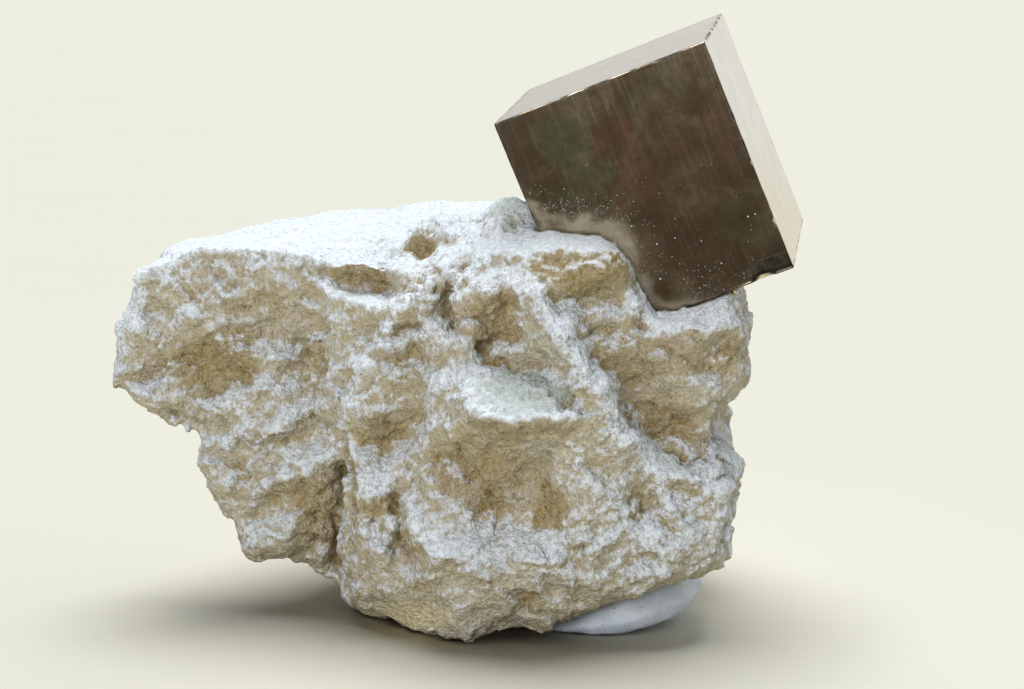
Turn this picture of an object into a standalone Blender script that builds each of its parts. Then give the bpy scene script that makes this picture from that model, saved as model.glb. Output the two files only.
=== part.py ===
"""Pyrite specimen: one pyrite crystal set in a piece of marl that leans on a pad of putty.

Lengths are in millimetres and become metres where a mesh is made.  The marl is described
as it is seen from the front: (u, v) is a place on an upright picture plane, u to the right
and v up, and y is how far back the surface lies there.  The front of the keel, the lowest
edge of the marl, touches the ground at u = 0, v = 0, y = 0.
"""
import math

import bmesh
import bpy
from mathutils import Euler, Matrix, Vector, noise
from mathutils.bvhtree import BVHTree

MM = 0.001

# Driving dimensions of the crystal
CRYSTAL_WIDTH = 18.67
CRYSTAL_DEPTH = 19.0
CRYSTAL_HEIGHT = 20.0
CRYSTAL_CENTRE = Vector((16.74, 9.99, 38.56))
CRYSTAL_TURN = Euler((math.radians(5.45), math.radians(-21.84), math.radians(-11.35)), "XYZ")
CRYSTAL_BEVEL = 0.12
SOCKET_GAP = 0.3

# The viewpoint from which the outline of the marl is given
VIEW_TILT = math.radians(10.0)
VIEW_BACK = 187.7
VIEW_HEIGHT = 58.5
VIEW_ACROSS = 4.4
PLANE_DISTANCE = 191.7
PLANE_CENTRE_U = 4.33
PLANE_CENTRE_V = 24.63

# How the surface of the marl is broken up
CORE = Vector((-3.0, 13.0, 22.5))
LINE_STEP = 1.4
EDGE_LIMIT = 1.5
REFINE_PASSES = 6
NEAREST_DIRECTIONS = 0.008
RELIEF_REACH = 12
RELIEF_GAIN = 0.85
HACKLE_CELL = 3.2
HACKLE_HEIGHT = 0.5
BLOCK_CELL = 9.0
BLOCK_HEIGHT = 1.7
HIDDEN_FROM = 9.0
HIDDEN_OVER = 10.0
FOOT_SINK = 0.3
GROUND_SPAN = 120.0
GROUND_DEPTH = 8.0
SKIN_VOXEL = 0.42
SKIN_RATIO = 0.077

# Driving dimensions of the putty
PUTTY_LEFT = 5.0
PUTTY_RIGHT = 20.8
PUTTY_FRONT = 0.6
PUTTY_BACK = 11.5
PUTTY_FOOT = 14.0
PUTTY_LIFT = 1.4
PUTTY_GAP = 0.35
PUTTY_FLAT = 0.55
PUTTY_RINGS = 10
PUTTY_SPOKES = 24


def seen(u, v, y):
    """The point y mm behind the front of the keel that is seen at (u, v) from the front."""
    across = (u - PLANE_CENTRE_U) / PLANE_DISTANCE
    rise = (v - PLANE_CENTRE_V) / PLANE_DISTANCE
    forward = math.cos(VIEW_TILT) + math.sin(VIEW_TILT) * rise
    upward = math.cos(VIEW_TILT) * rise - math.sin(VIEW_TILT)
    reach = (y + VIEW_BACK) / forward
    return Vector((VIEW_ACROSS + across * reach, y, VIEW_HEIGHT + upward * reach))


# The rim of the flat top: round the back from the left tip to the crystal, and along the front
BACK_RIM = [
    (-29.2, 21.0, 10.5), (-29.4, 22.5, 10.5), (-29.4, 23.2, 10.5), (-28.6, 25.2, 10.5),
    (-27.4, 28.3, 11.0), (-26.6, 30.3, 11.0), (-26.2, 30.9, 11.3), (-25.2, 32.0, 11.8),
    (-24.0, 33.1, 12.5), (-23.2, 33.6, 13.5), (-20.5, 33.9, 16.0), (-17.5, 34.8, 18.5),
    (-13.3, 35.6, 23.0), (-9.2, 36.1, 27.0), (-5.0, 36.5, 29.5), (1.7, 36.9, 31.0),
    (5.0, 37.1, 31.5),
]
FRONT_RIM = [
    (-25.8, 31.3, 9.5), (-24.3, 31.4, 9.0), (-23.1, 32.4, 9.0), (-21.8, 32.9, 8.8),
    (-18.5, 32.8, 8.0), (-17.2, 32.6, 7.5), (-15.0, 32.9, 7.2), (-14.2, 32.5, 7.0),
    (-11.5, 32.0, 6.0), (-10.5, 31.6, 5.8), (-8.5, 31.9, 5.5), (-6.5, 31.2, 5.0),
    (-5.2, 31.3, 4.5), (-3.5, 31.5, 4.2), (-2.0, 32.0, 4.0), (-0.8, 32.3, 3.5),
    (0.6, 32.6, 2.8), (2.0, 32.7, 2.0), (4.0, 33.3, 1.8), (5.3, 34.0, 2.0), (6.0, 34.5, 2.2),
]

# The top beside the crystal: a pit, a raised block, a small round socket and a lump
TOP_LINES = [
    [(-4.7, 33.1, 8.2), (-4.0, 33.5, 9.2), (-3.2, 33.6, 9.5)],
    [(-4.0, 32.0, 7.4), (-3.0, 32.2, 7.6), (-2.3, 32.3, 7.2)],
    [(-3.2, 33.6, 9.8), (-1.8, 34.3, 10.6), (-1.0, 34.7, 11.2), (0.5, 35.0, 11.6), (1.9, 34.8, 10.6)],
    [(-2.2, 32.9, 7.0), (-0.6, 32.8, 6.2), (0.8, 33.3, 6.4), (1.9, 33.9, 6.4)],
    [(2.2, 35.1, 8.6), (2.6, 36.3, 9.6), (3.4, 37.1, 10.6), (4.4, 37.2, 10.0), (5.2, 36.6, 7.6)],
    [(2.9, 34.5, 4.6), (3.3, 35.3, 6.0), (4.3, 35.5, 6.2), (5.1, 35.1, 5.4), (5.5, 34.5, 3.6)],
    [(3.6, 34.5, 5.6), (4.5, 34.5, 5.8)],
    [(3.0, 33.8, 3.4), (4.2, 33.9, 2.8), (5.2, 34.1, 2.6)],
]

# The mound in front of the crystal: where it meets the crystal, its brow and its brown face
MOUND_LINES = [
    [(6.0, 34.6, 2.3), (8.5, 34.2, 2.0), (10.0, 34.2, 1.8), (11.3, 34.1, 1.6), (12.0, 33.8, 1.6),
     (12.7, 33.3, 1.5), (13.3, 32.7, 1.4), (14.2, 31.8, 1.4), (14.6, 30.1, 1.4), (15.0, 29.4, 1.4),
     (15.8, 28.6, 1.3), (16.4, 28.0, 1.3)],
    [(2.0, 31.8, 0.6), (4.0, 32.3, -1.0), (5.0, 32.6, -1.5), (6.5, 32.2, -2.0), (8.0, 32.3, -2.5),
     (8.8, 32.9, -2.2), (10.5, 32.7, -2.8), (12.0, 32.6, -2.6), (13.2, 32.2, -2.0), (14.0, 31.2, -1.5),
     (14.3, 30.3, -1.3), (14.6, 29.3, -1.0), (15.5, 28.3, -0.5), (16.0, 27.6, 0.2)],
    [(3.2, 31.0, -0.8), (5.5, 31.2, -2.2), (7.5, 31.0, -2.8), (9.5, 31.2, -3.6), (11.5, 31.0, -3.4)],
    [(12.6, 30.8, -3.0), (13.4, 30.2, -2.7)],
    [(4.5, 29.9, -2.2), (6.5, 30.0, -2.9), (8.5, 29.8, -3.6), (10.5, 29.8, -3.2), (12.5, 29.6, -2.6)],
    [(7.0, 28.9, -3.1), (8.5, 28.6, -2.6), (10.0, 28.7, -2.2), (12.5, 28.9, -1.7), (13.3, 29.3, -1.5)],
    [(13.5, 28.3, -1.7), (14.6, 28.4, -2.3), (15.2, 27.9, -2.0), (15.3, 27.0, -1.2)],
    [(13.6, 27.3, -2.0), (14.5, 27.2, -2.2)],
]

# The ledge under the crystal and the lump at the right end
LEDGE_LINES = [
    [(16.2, 27.6, 1.2), (18.2, 27.9, 1.0), (19.3, 28.3, 0.8), (20.8, 28.8, 0.6), (21.8, 29.1, 0.5),
     (22.8, 29.4, 0.5), (23.4, 29.2, 2.0)],
    [(16.4, 26.9, -0.4), (18.4, 27.1, -0.6), (20.4, 27.6, -0.8), (22.4, 28.2, -0.6)],
    [(15.0, 26.0, -1.0), (16.0, 26.0, -1.6), (17.5, 26.6, -2.2), (19.0, 26.7, -2.5), (20.0, 26.2, -2.6),
     (21.5, 26.0, -2.4), (22.2, 26.6, -1.8), (23.2, 26.5, -1.0), (23.9, 26.1, 0.6)],
    [(21.3, 25.3, -1.0), (21.1, 24.0, -0.9), (21.4, 22.8, -0.7), (22.2, 22.2, 0.2), (23.3, 22.4, 1.0)],
    [(22.3, 25.2, -1.7), (22.4, 24.0, -1.6), (22.8, 23.1, -0.9)],
    [(23.3, 25.2, -0.6), (23.4, 24.0, -0.2)],
]

# The right outline, from the ledge down to the underside
RIGHT_OUTLINE = [
    (23.3, 27.8, 3.0), (23.5, 27.3, 3.0), (23.8, 26.2, 2.6), (24.1, 25.7, 2.6), (24.2, 25.2, 2.6),
    (24.0, 24.7, 3.0), (24.0, 23.6, 3.2), (24.3, 22.8, 3.0), (24.0, 22.2, 3.0), (23.3, 21.2, 3.0),
    (22.4, 20.2, 3.0), (22.7, 20.0, 2.4), (22.6, 19.5, 2.4), (21.7, 19.0, 3.0), (21.5, 18.6, 3.2),
    (21.8, 18.0, 3.0), (21.6, 17.2, 3.2), (21.3, 16.9, 3.4), (22.3, 16.2, 3.0), (22.4, 15.0, 2.6),
    (22.8, 14.5, 2.4), (23.4, 13.8, 2.2), (23.3, 13.0, 2.6), (22.5, 12.3, 3.2), (22.2, 12.0, 3.6),
    (22.8, 10.8, 3.2), (22.9, 10.3, 3.0), (22.6, 8.8, 3.2), (22.2, 8.3, 3.6), (22.8, 7.5, 3.0),
    (22.8, 6.9, 2.8), (22.0, 6.2, 2.2), (20.8, 5.5, 1.4),
]

# The lower edge, from right to left, where the front turns under
LOWER_EDGE = [
    (19.2, 5.1, 0.4), (17.0, 4.35, -0.2), (15.0, 3.7, -0.6), (13.0, 3.05, -0.8), (11.0, 2.35, -0.8),
    (10.0, 1.95, -0.8), (8.2, 1.6, -0.6), (7.8, 1.2, -0.3), (6.3, 0.95, -0.2), (4.5, 0.95, -0.3),
    (2.5, 0.45, -0.2), (0.5, 0.0, -0.1), (0.0, 0.0, 0.0), (-1.0, 0.3, 0.4), (-2.5, 0.55, 1.5),
    (-4.0, 0.65, 2.0), (-5.0, 1.0, 3.1), (-5.8, 1.7, 5.2), (-8.0, 1.95, 6.4), (-9.0, 2.5, 8.0),
    (-9.3, 3.0, 8.6), (-10.6, 4.1, 9.5), (-11.5, 5.0, 10.0), (-12.5, 6.1, 10.5), (-14.0, 6.4, 10.0),
    (-15.5, 6.3, 9.6), (-17.0, 6.6, 9.6), (-18.0, 7.3, 9.9), (-18.7, 8.3, 10.3), (-19.3, 9.5, 10.5),
    (-20.2, 10.9, 10.5), (-21.1, 12.3, 10.5), (-21.1, 13.0, 10.4), (-21.5, 14.2, 10.1),
    (-22.0, 14.7, 10.0), (-22.1, 15.2, 10.0), (-22.0, 17.0, 10.0), (-22.15, 18.4, 10.0),
    (-23.3, 18.7, 10.2), (-24.5, 18.85, 10.4), (-26.0, 18.95, 10.6), (-27.4, 19.8, 10.6),
    (-28.5, 20.7, 10.6),
]

# The left wing: its pale end, its face, the deep hollow under the middle and the lumps below it
WING_LINES = [
    [(-26.8, 31.0, 10.0), (-26.8, 28.5, 9.6), (-27.0, 26.5, 9.4), (-27.3, 25.0, 9.4), (-27.6, 23.5, 9.3),
     (-28.4, 22.0, 9.4), (-28.9, 21.2, 9.8)],
    [(-25.0, 30.0, 8.9), (-25.0, 28.6, 8.9), (-24.5, 27.2, 9.2), (-24.8, 26.0, 8.9), (-24.4, 24.5, 8.7)],
    [(-24.2, 27.4, 8.4), (-23.0, 27.1, 8.0), (-22.3, 26.6, 8.1)],
    [(-26.0, 22.6, 8.6), (-25.3, 20.8, 8.4), (-23.7, 19.7, 8.3), (-22.4, 19.5, 8.6)],
    [(-27.0, 20.9, 9.2), (-25.6, 19.6, 9.0), (-23.8, 19.2, 9.0)],
    [(-23.4, 31.3, 8.9), (-22.0, 31.2, 9.1), (-21.0, 31.9, 8.4), (-19.4, 31.0, 8.9), (-18.0, 31.8, 7.6)],
    [(-22.6, 29.5, 8.4), (-20.6, 29.4, 7.8), (-18.6, 29.9, 7.6), (-16.6, 30.4, 7.1), (-15.2, 31.2, 6.8)],
    [(-22.6, 28.3, 8.3), (-20.4, 28.0, 7.6), (-18.4, 28.6, 7.1), (-16.6, 29.2, 6.9)],
    [(-23.6, 25.8, 8.6), (-21.6, 25.6, 8.0), (-20.0, 26.4, 7.4), (-18.4, 26.6, 7.2), (-17.4, 27.4, 7.1)],
    [(-23.4, 24.0, 8.9), (-22.4, 22.4, 9.6), (-21.2, 22.4, 10.0), (-20.0, 21.4, 9.8), (-19.2, 21.1, 9.4)],
    [(-22.2, 24.4, 9.0), (-20.9, 24.4, 9.0), (-19.8, 23.9, 8.3)],
    [(-20.2, 25.3, 7.7), (-19.2, 24.4, 7.4), (-19.1, 23.2, 7.8), (-18.3, 24.2, 7.5)],
    [(-17.9, 25.7, 8.0), (-16.6, 25.2, 8.2), (-15.2, 25.4, 8.0), (-14.9, 26.6, 7.8), (-14.8, 27.8, 7.4)],
    [(-16.9, 26.9, 7.9), (-17.1, 28.3, 7.0), (-15.9, 28.6, 6.6), (-15.1, 29.2, 6.4), (-13.9, 29.4, 6.1)],
    [(-18.0, 22.6, 8.6), (-17.6, 21.6, 8.2), (-16.2, 23.6, 7.3), (-15.2, 22.6, 7.4), (-14.6, 23.6, 6.6)],
    [(-21.9, 20.3, 8.8), (-21.2, 20.8, 8.9), (-20.4, 20.4, 8.6)],
    [(-21.7, 19.3, 7.9), (-20.9, 19.5, 7.4), (-20.2, 19.0, 7.9)],
    [(-19.9, 19.6, 7.5), (-18.9, 20.3, 6.9), (-18.0, 20.3, 6.9), (-17.4, 19.6, 7.1), (-18.2, 18.9, 7.2)],
]

# The upper middle: the recess below the rim, its bright shelf, and the rough face below
RECESS_LINES = [
    [(-11.8, 30.9, 6.3), (-10.6, 30.6, 6.9), (-9.6, 30.6, 7.2), (-8.0, 30.6, 7.2), (-6.6, 30.5, 6.9),
     (-5.4, 30.6, 6.0)],
    [(-10.2, 29.9, 6.7), (-9.0, 29.5, 6.8), (-7.0, 29.3, 6.4), (-5.8, 29.1, 5.7)],
    [(-11.4, 29.5, 5.4), (-9.8, 28.9, 4.8), (-8.4, 28.5, 4.2), (-7.0, 28.4, 3.6), (-5.9, 28.3, 3.2)],
    [(-14.0, 31.3, 6.5), (-12.8, 30.6, 6.0), (-12.2, 29.9, 5.8)],
    [(-12.6, 29.6, 6.4), (-13.6, 28.6, 6.3), (-12.6, 28.3, 6.6), (-11.9, 28.7, 6.2)],
    [(-12.9, 27.5, 6.0), (-11.6, 27.6, 5.6), (-10.4, 27.5, 5.2), (-9.4, 28.0, 4.6)],
    [(-13.6, 26.3, 7.0), (-12.4, 26.4, 7.0), (-11.4, 25.9, 6.6), (-12.4, 25.1, 7.6)],
    [(-13.9, 24.3, 6.4), (-13.0, 24.8, 6.0), (-12.3, 24.6, 6.4)],
    [(-12.3, 24.0, 7.9), (-11.8, 23.0, 8.2), (-11.8, 22.1, 8.0), (-12.0, 21.2, 7.6)],
    [(-13.9, 22.6, 6.6), (-13.3, 21.6, 6.9), (-12.7, 22.4, 6.9)],
    [(-10.8, 26.6, 5.0), (-10.6, 25.0, 5.0), (-10.4, 23.4, 4.8), (-10.6, 21.8, 4.6), (-10.8, 20.2, 4.8),
     (-10.6, 18.8, 4.8), (-10.4, 17.4, 5.2)],
    [(-9.2, 26.8, 4.2), (-8.8, 25.6, 4.0), (-9.4, 24.4, 4.4), (-9.6, 23.3, 4.0), (-9.5, 21.8, 4.0)],
    [(-7.4, 27.3, 3.4), (-7.2, 26.2, 3.6), (-6.9, 25.1, 3.9), (-7.0, 24.3, 3.6), (-7.8, 23.5, 3.5)],
    [(-6.1, 27.4, 2.8), (-5.9, 26.6, 2.9)],
    [(-14.4, 20.6, 7.6), (-14.0, 19.6, 7.8), (-15.2, 18.6, 7.6)],
    [(-16.4, 21.4, 7.1), (-15.7, 20.0, 6.8), (-16.4, 18.7, 7.1)],
    [(-12.4, 19.3, 6.9), (-11.5, 18.6, 7.0), (-12.4, 17.6, 7.2)],
]

# The lower left: oblique ribs, a round crater, a pale band, and the brown underside
LOWER_LEFT_LINES = [
    [(-21.2, 16.1, 8.7), (-19.6, 16.7, 7.9), (-18.1, 17.3, 7.3)],
    [(-20.6, 17.9, 8.7), (-19.2, 17.8, 8.4), (-18.2, 18.2, 8.0)],
    [(-17.9, 17.6, 6.9), (-17.3, 16.9, 6.8), (-16.3, 16.4, 6.8), (-15.9, 17.0, 6.9), (-16.6, 17.8, 7.0)],
    [(-17.1, 17.1, 8.0), (-16.7, 17.2, 8.1)],
    [(-15.7, 17.6, 6.6), (-14.5, 18.2, 6.2), (-13.0, 19.0, 5.9)],
    [(-17.6, 15.9, 7.9), (-16.2, 16.0, 7.8), (-14.9, 16.4, 7.6), (-13.4, 16.8, 7.4), (-12.0, 17.0, 7.0)],
    [(-20.9, 14.9, 8.9), (-19.4, 15.3, 8.4), (-18.3, 14.5, 8.6), (-17.9, 13.9, 8.0)],
    [(-16.6, 15.0, 7.0), (-15.2, 15.0, 6.8), (-13.6, 14.6, 6.6), (-12.6, 15.3, 6.5), (-11.3, 15.9, 6.1)],
    [(-20.2, 13.3, 8.8), (-18.8, 12.9, 7.9), (-17.2, 12.4, 7.1), (-15.4, 13.2, 6.4), (-13.6, 14.0, 5.9),
     (-11.9, 14.8, 5.5), (-10.3, 15.3, 5.2), (-9.5, 16.3, 5.0)],
    [(-16.1, 12.2, 7.6), (-15.6, 11.4, 7.8), (-15.0, 12.0, 7.2)],
    [(-13.5, 11.6, 7.0), (-12.9, 12.3, 6.9)],
    [(-19.6, 11.4, 9.4), (-18.0, 11.4, 8.2), (-16.9, 11.3, 7.5)],
    [(-18.4, 10.2, 9.1), (-17.2, 10.4, 8.6), (-16.4, 10.2, 8.4)],
    [(-18.3, 8.9, 9.2), (-17.0, 8.9, 7.9), (-15.8, 8.7, 7.4), (-14.8, 8.1, 7.2)],
    [(-17.3, 7.7, 8.4), (-15.6, 7.9, 7.9), (-14.0, 7.7, 7.6), (-12.4, 7.6, 8.2), (-11.2, 7.0, 9.0)],
    [(-14.5, 8.6, 6.8), (-14.3, 9.7, 6.6), (-13.0, 10.7, 6.3), (-12.2, 12.2, 6.0), (-11.2, 13.1, 5.8),
     (-11.0, 14.2, 5.6)],
    [(-12.4, 9.2, 7.4), (-11.3, 11.2, 7.0), (-10.4, 13.2, 6.6)],
    [(-9.2, 14.4, 6.2), (-9.2, 13.0, 7.0), (-9.7, 11.4, 7.8), (-9.9, 10.0, 8.4), (-10.4, 8.0, 9.2),
     (-10.3, 6.4, 9.4)],
]

# The left buttress: its bright crest, the slanting ledges beside it and the blocks under it
BUTTRESS_LINES = [
    [(-9.5, 17.2, 3.8), (-9.1, 18.6, 3.2), (-9.0, 19.8, 2.9), (-8.7, 21.2, 2.7), (-8.6, 22.7, 2.6),
     (-7.2, 23.6, 2.1), (-6.3, 24.8, 2.0), (-5.6, 26.2, 1.8), (-5.0, 27.4, 1.7), (-3.8, 27.9, 1.2)],
    [(-4.9, 30.4, 3.8), (-4.6, 29.3, 3.2), (-3.6, 28.8, 2.6), (-3.0, 30.2, 2.6), (-2.2, 31.0, 2.6)],
    [(-5.2, 26.6, 2.0), (-4.2, 26.9, 1.5), (-3.0, 27.2, 0.9)],
    [(-5.4, 25.4, 2.6), (-4.2, 25.9, 2.2), (-3.1, 26.3, 1.4)],
    [(-6.4, 24.3, 1.8), (-5.2, 24.5, 1.8), (-4.0, 25.2, 1.3), (-3.0, 25.5, 0.7)],
    [(-5.0, 23.9, 1.9), (-4.2, 24.2, 1.7), (-3.5, 23.3, 1.7), (-3.0, 24.3, 0.8)],
    [(-6.4, 23.0, 1.5), (-6.0, 21.8, 1.1), (-4.8, 21.4, 0.8), (-4.0, 22.4, 0.9), (-3.0, 22.2, 0.2)],
    [(-7.6, 21.6, 1.9), (-7.4, 20.2, 1.7), (-6.0, 20.3, 1.2), (-4.6, 20.6, 1.0), (-3.4, 20.6, 0.2)],
    [(-8.3, 18.6, 2.4), (-7.0, 18.9, 1.5), (-5.4, 19.2, 0.9), (-4.0, 19.5, 0.5), (-2.8, 18.9, 0.2)],
    [(-7.7, 17.4, 2.9), (-6.2, 17.8, 2.7), (-4.6, 18.0, 2.2), (-3.4, 18.2, 1.3)],
    [(-8.6, 16.6, 3.0), (-7.2, 16.2, 3.2), (-5.8, 16.2, 3.0), (-4.4, 16.8, 2.0)],
    [(-8.9, 15.0, 2.5), (-7.4, 15.0, 1.9), (-6.2, 14.6, 2.0), (-5.3, 15.0, 1.0), (-3.9, 15.6, 0.4)],
    [(-8.8, 13.6, 2.0), (-7.2, 13.4, 0.9), (-5.7, 13.6, 0.9)],
    [(-8.7, 12.2, 1.7), (-7.4, 11.9, 0.5), (-6.0, 12.1, 0.5), (-5.3, 13.0, 1.0)],
    [(-8.5, 11.2, 2.4), (-7.4, 10.9, 2.3), (-6.0, 10.6, 2.3), (-4.8, 10.4, 2.4), (-4.9, 11.8, 2.0)],
    [(-8.8, 10.0, 1.9), (-7.4, 9.9, 1.1), (-5.8, 10.0, 1.2), (-4.6, 9.9, 1.2)],
    [(-8.4, 8.7, 1.6), (-7.0, 9.0, 0.4), (-5.6, 9.0, 0.2), (-4.6, 9.0, 0.6)],
    [(-4.2, 9.3, 1.8), (-4.5, 8.2, 1.6), (-4.7, 7.4, 1.0)],
    [(-8.2, 7.6, 1.5), (-7.0, 7.9, 0.5), (-5.9, 7.8, 0.2), (-6.2, 6.9, 0.2)],
    [(-9.6, 12.0, 3.6), (-9.7, 10.0, 4.2), (-9.7, 8.0, 4.6), (-9.8, 6.0, 5.4), (-9.3, 4.4, 5.2)],
    [(-8.9, 6.6, 2.8), (-7.8, 5.6, 2.0), (-6.6, 6.1, 1.0), (-5.4, 6.4, 0.6), (-4.4, 6.2, -0.2)],
    [(-8.7, 4.6, 3.6), (-7.0, 4.9, 1.9), (-5.5, 5.0, 0.7), (-4.2, 5.1, -0.5), (-3.2, 5.0, -1.6)],
    [(-8.6, 3.6, 4.4), (-6.2, 3.5, 2.2), (-4.2, 3.4, 0.4), (-2.4, 2.8, -0.6), (-1.2, 1.6, -0.6)],
    [(-8.2, 2.7, 5.6), (-6.0, 2.4, 3.6), (-4.0, 1.8, 1.8), (-2.2, 1.2, 0.6)],
    [(-4.2, 4.3, -0.1), (-3.2, 4.4, -1.0), (-2.6, 4.0, -0.9)],
]

# The central rib, the pits beside its top, and the brown hollow to its right
RIB_LINES = [
    [(0.4, 32.3, 2.0), (-1.4, 31.2, 1.7), (-2.8, 29.8, 0.8), (-2.7, 28.0, 0.3), (-2.6, 26.5, 0.0),
     (-2.7, 25.0, -0.1), (-2.4, 24.0, -0.3), (-1.7, 22.8, -0.9), (-1.7, 21.5, -1.6), (-1.8, 20.5, -1.9),
     (-1.6, 19.6, -2.1), (-2.1, 18.0, -1.6)],
    [(-1.8, 30.3, 1.0), (-1.0, 31.2, 1.2), (-0.4, 30.4, 0.8)],
    [(0.2, 31.2, 1.7), (0.4, 30.6, 1.3)],
    [(-1.6, 29.4, 0.8), (-1.0, 28.9, 2.1), (-0.8, 28.5, 1.9)],
    [(2.0, 31.7, 0.3), (1.2, 30.9, 0.0), (0.3, 29.9, -0.2), (-0.3, 29.2, -0.4)],
    [(-1.2, 27.7, 1.3), (-0.6, 26.9, 1.3), (-0.5, 26.2, 0.8)],
    [(-1.9, 26.4, -0.4), (-1.6, 25.0, -0.8), (-0.6, 24.8, -1.0)],
    [(-0.2, 28.1, -0.8), (0.8, 28.9, -1.5), (1.8, 29.2, -1.9), (2.6, 28.6, -2.1), (1.6, 27.7, -1.9)],
    [(0.2, 27.3, -0.5), (1.0, 27.1, -0.7), (2.2, 26.7, -1.0)],
    [(2.2, 30.4, -1.2), (3.2, 29.9, -1.8), (4.0, 29.2, -2.2), (4.9, 28.2, -2.7), (5.2, 27.4, -2.9)],
    [(3.4, 28.6, -1.5), (3.6, 27.8, -1.3), (4.4, 27.0, -1.9)],
    [(0.4, 26.5, -1.5), (1.2, 26.0, -1.6), (0.4, 25.0, -1.5), (0.9, 24.3, -1.9)],
    [(2.6, 25.9, -1.0), (4.0, 26.0, -1.4), (5.2, 25.8, -2.4)],
    [(1.5, 24.9, -0.5), (2.0, 24.3, -0.7), (2.9, 24.9, -0.7), (4.0, 24.9, -1.3), (5.4, 24.6, -2.6)],
    [(2.8, 23.9, -1.9), (4.0, 23.8, -2.4), (5.4, 23.9, -2.9), (6.3, 24.0, -3.1)],
    [(3.2, 22.8, -1.5), (4.4, 22.6, -1.8), (6.0, 22.2, -2.0), (7.2, 21.6, -2.4), (8.4, 20.9, -3.4)],
    [(6.6, 23.2, -2.9), (7.4, 22.7, -3.1), (8.0, 21.8, -3.6)],
    [(-1.0, 23.6, -1.4), (0.2, 23.6, -1.9), (-0.2, 22.5, -2.5), (-0.9, 21.6, -2.9)],
    [(-1.0, 20.4, -3.5), (-0.7, 19.0, -3.9), (-1.2, 17.8, -3.3)],
]

# The pale shelf that stands out furthest, and the overhang below it
SHELF_LINES = [
    [(1.0, 23.3, -2.2), (2.2, 22.7, -2.5), (3.2, 22.2, -2.8), (5.0, 21.5, -3.2), (6.2, 21.0, -3.6),
     (8.0, 20.3, -4.4), (9.3, 19.9, -5.2)],
    [(0.4, 21.6, -3.9), (1.8, 21.2, -4.4), (3.6, 20.4, -5.2), (5.6, 19.8, -5.8), (7.8, 19.6, -6.0)],
    [(0.3, 20.4, -4.7), (0.8, 19.6, -5.6), (1.7, 19.0, -6.3), (3.0, 18.7, -6.8), (4.8, 18.2, -7.0),
     (6.5, 18.2, -7.0), (8.0, 18.5, -6.8), (9.8, 18.9, -6.3)],
    [(0.2, 18.4, -4.8), (1.6, 17.7, -5.4), (3.2, 17.2, -5.9), (4.6, 17.1, -5.7), (5.8, 17.3, -6.1),
     (7.2, 17.0, -5.9), (8.6, 17.4, -6.0), (9.7, 17.2, -5.8)],
    [(-0.6, 16.9, -3.4), (0.8, 16.4, -4.0), (2.6, 16.1, -4.5), (4.2, 15.8, -4.5), (5.8, 15.6, -4.6),
     (7.6, 15.6, -4.6), (9.0, 15.6, -4.9)],
    [(0.4, 15.0, -3.0), (2.0, 14.7, -3.3), (3.4, 13.8, -3.7), (5.0, 14.6, -3.5), (6.6, 14.3, -3.6),
     (8.2, 13.6, -4.0)],
    [(1.0, 12.7, -2.6), (2.6, 12.6, -2.5), (4.2, 12.8, -2.9), (5.8, 12.2, -2.6), (7.2, 12.2, -3.2),
     (8.4, 11.6, -4.1)],
    [(-0.4, 11.4, -2.6), (1.2, 11.4, -2.2), (2.9, 11.0, -1.5), (4.6, 11.0, -2.5), (6.2, 10.8, -2.3),
     (7.6, 10.2, -3.0), (8.8, 10.0, -3.9)],
    [(1.2, 10.1, -1.6), (2.6, 9.8, -1.5), (4.2, 9.4, -2.4), (6.0, 9.2, -2.6), (7.8, 9.0, -3.2)],
    [(-0.7, 15.2, -1.2), (-1.3, 15.8, -1.6), (-2.2, 16.1, -1.6)],
    [(-2.6, 15.0, -0.9), (-1.8, 14.3, -0.8), (-1.0, 14.4, -1.6)],
    [(-2.9, 13.6, -1.3), (-1.7, 13.5, -2.1), (-0.5, 13.8, -2.5), (0.4, 13.3, -2.7)],
    [(-2.4, 12.4, -1.6), (-1.2, 12.0, -2.1)],
    [(-3.2, 16.6, -0.4), (-3.6, 15.0, -0.2), (-4.2, 13.6, 0.0), (-4.6, 12.2, 0.1), (-4.3, 10.9, -0.1),
     (-3.9, 9.6, -0.7), (-3.7, 8.8, -1.2), (-3.9, 7.8, -0.9), (-3.3, 7.0, -1.8)],
    [(-2.6, 10.4, -1.6), (-1.4, 9.9, -1.7), (-0.2, 9.9, -2.2)],
]

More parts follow.
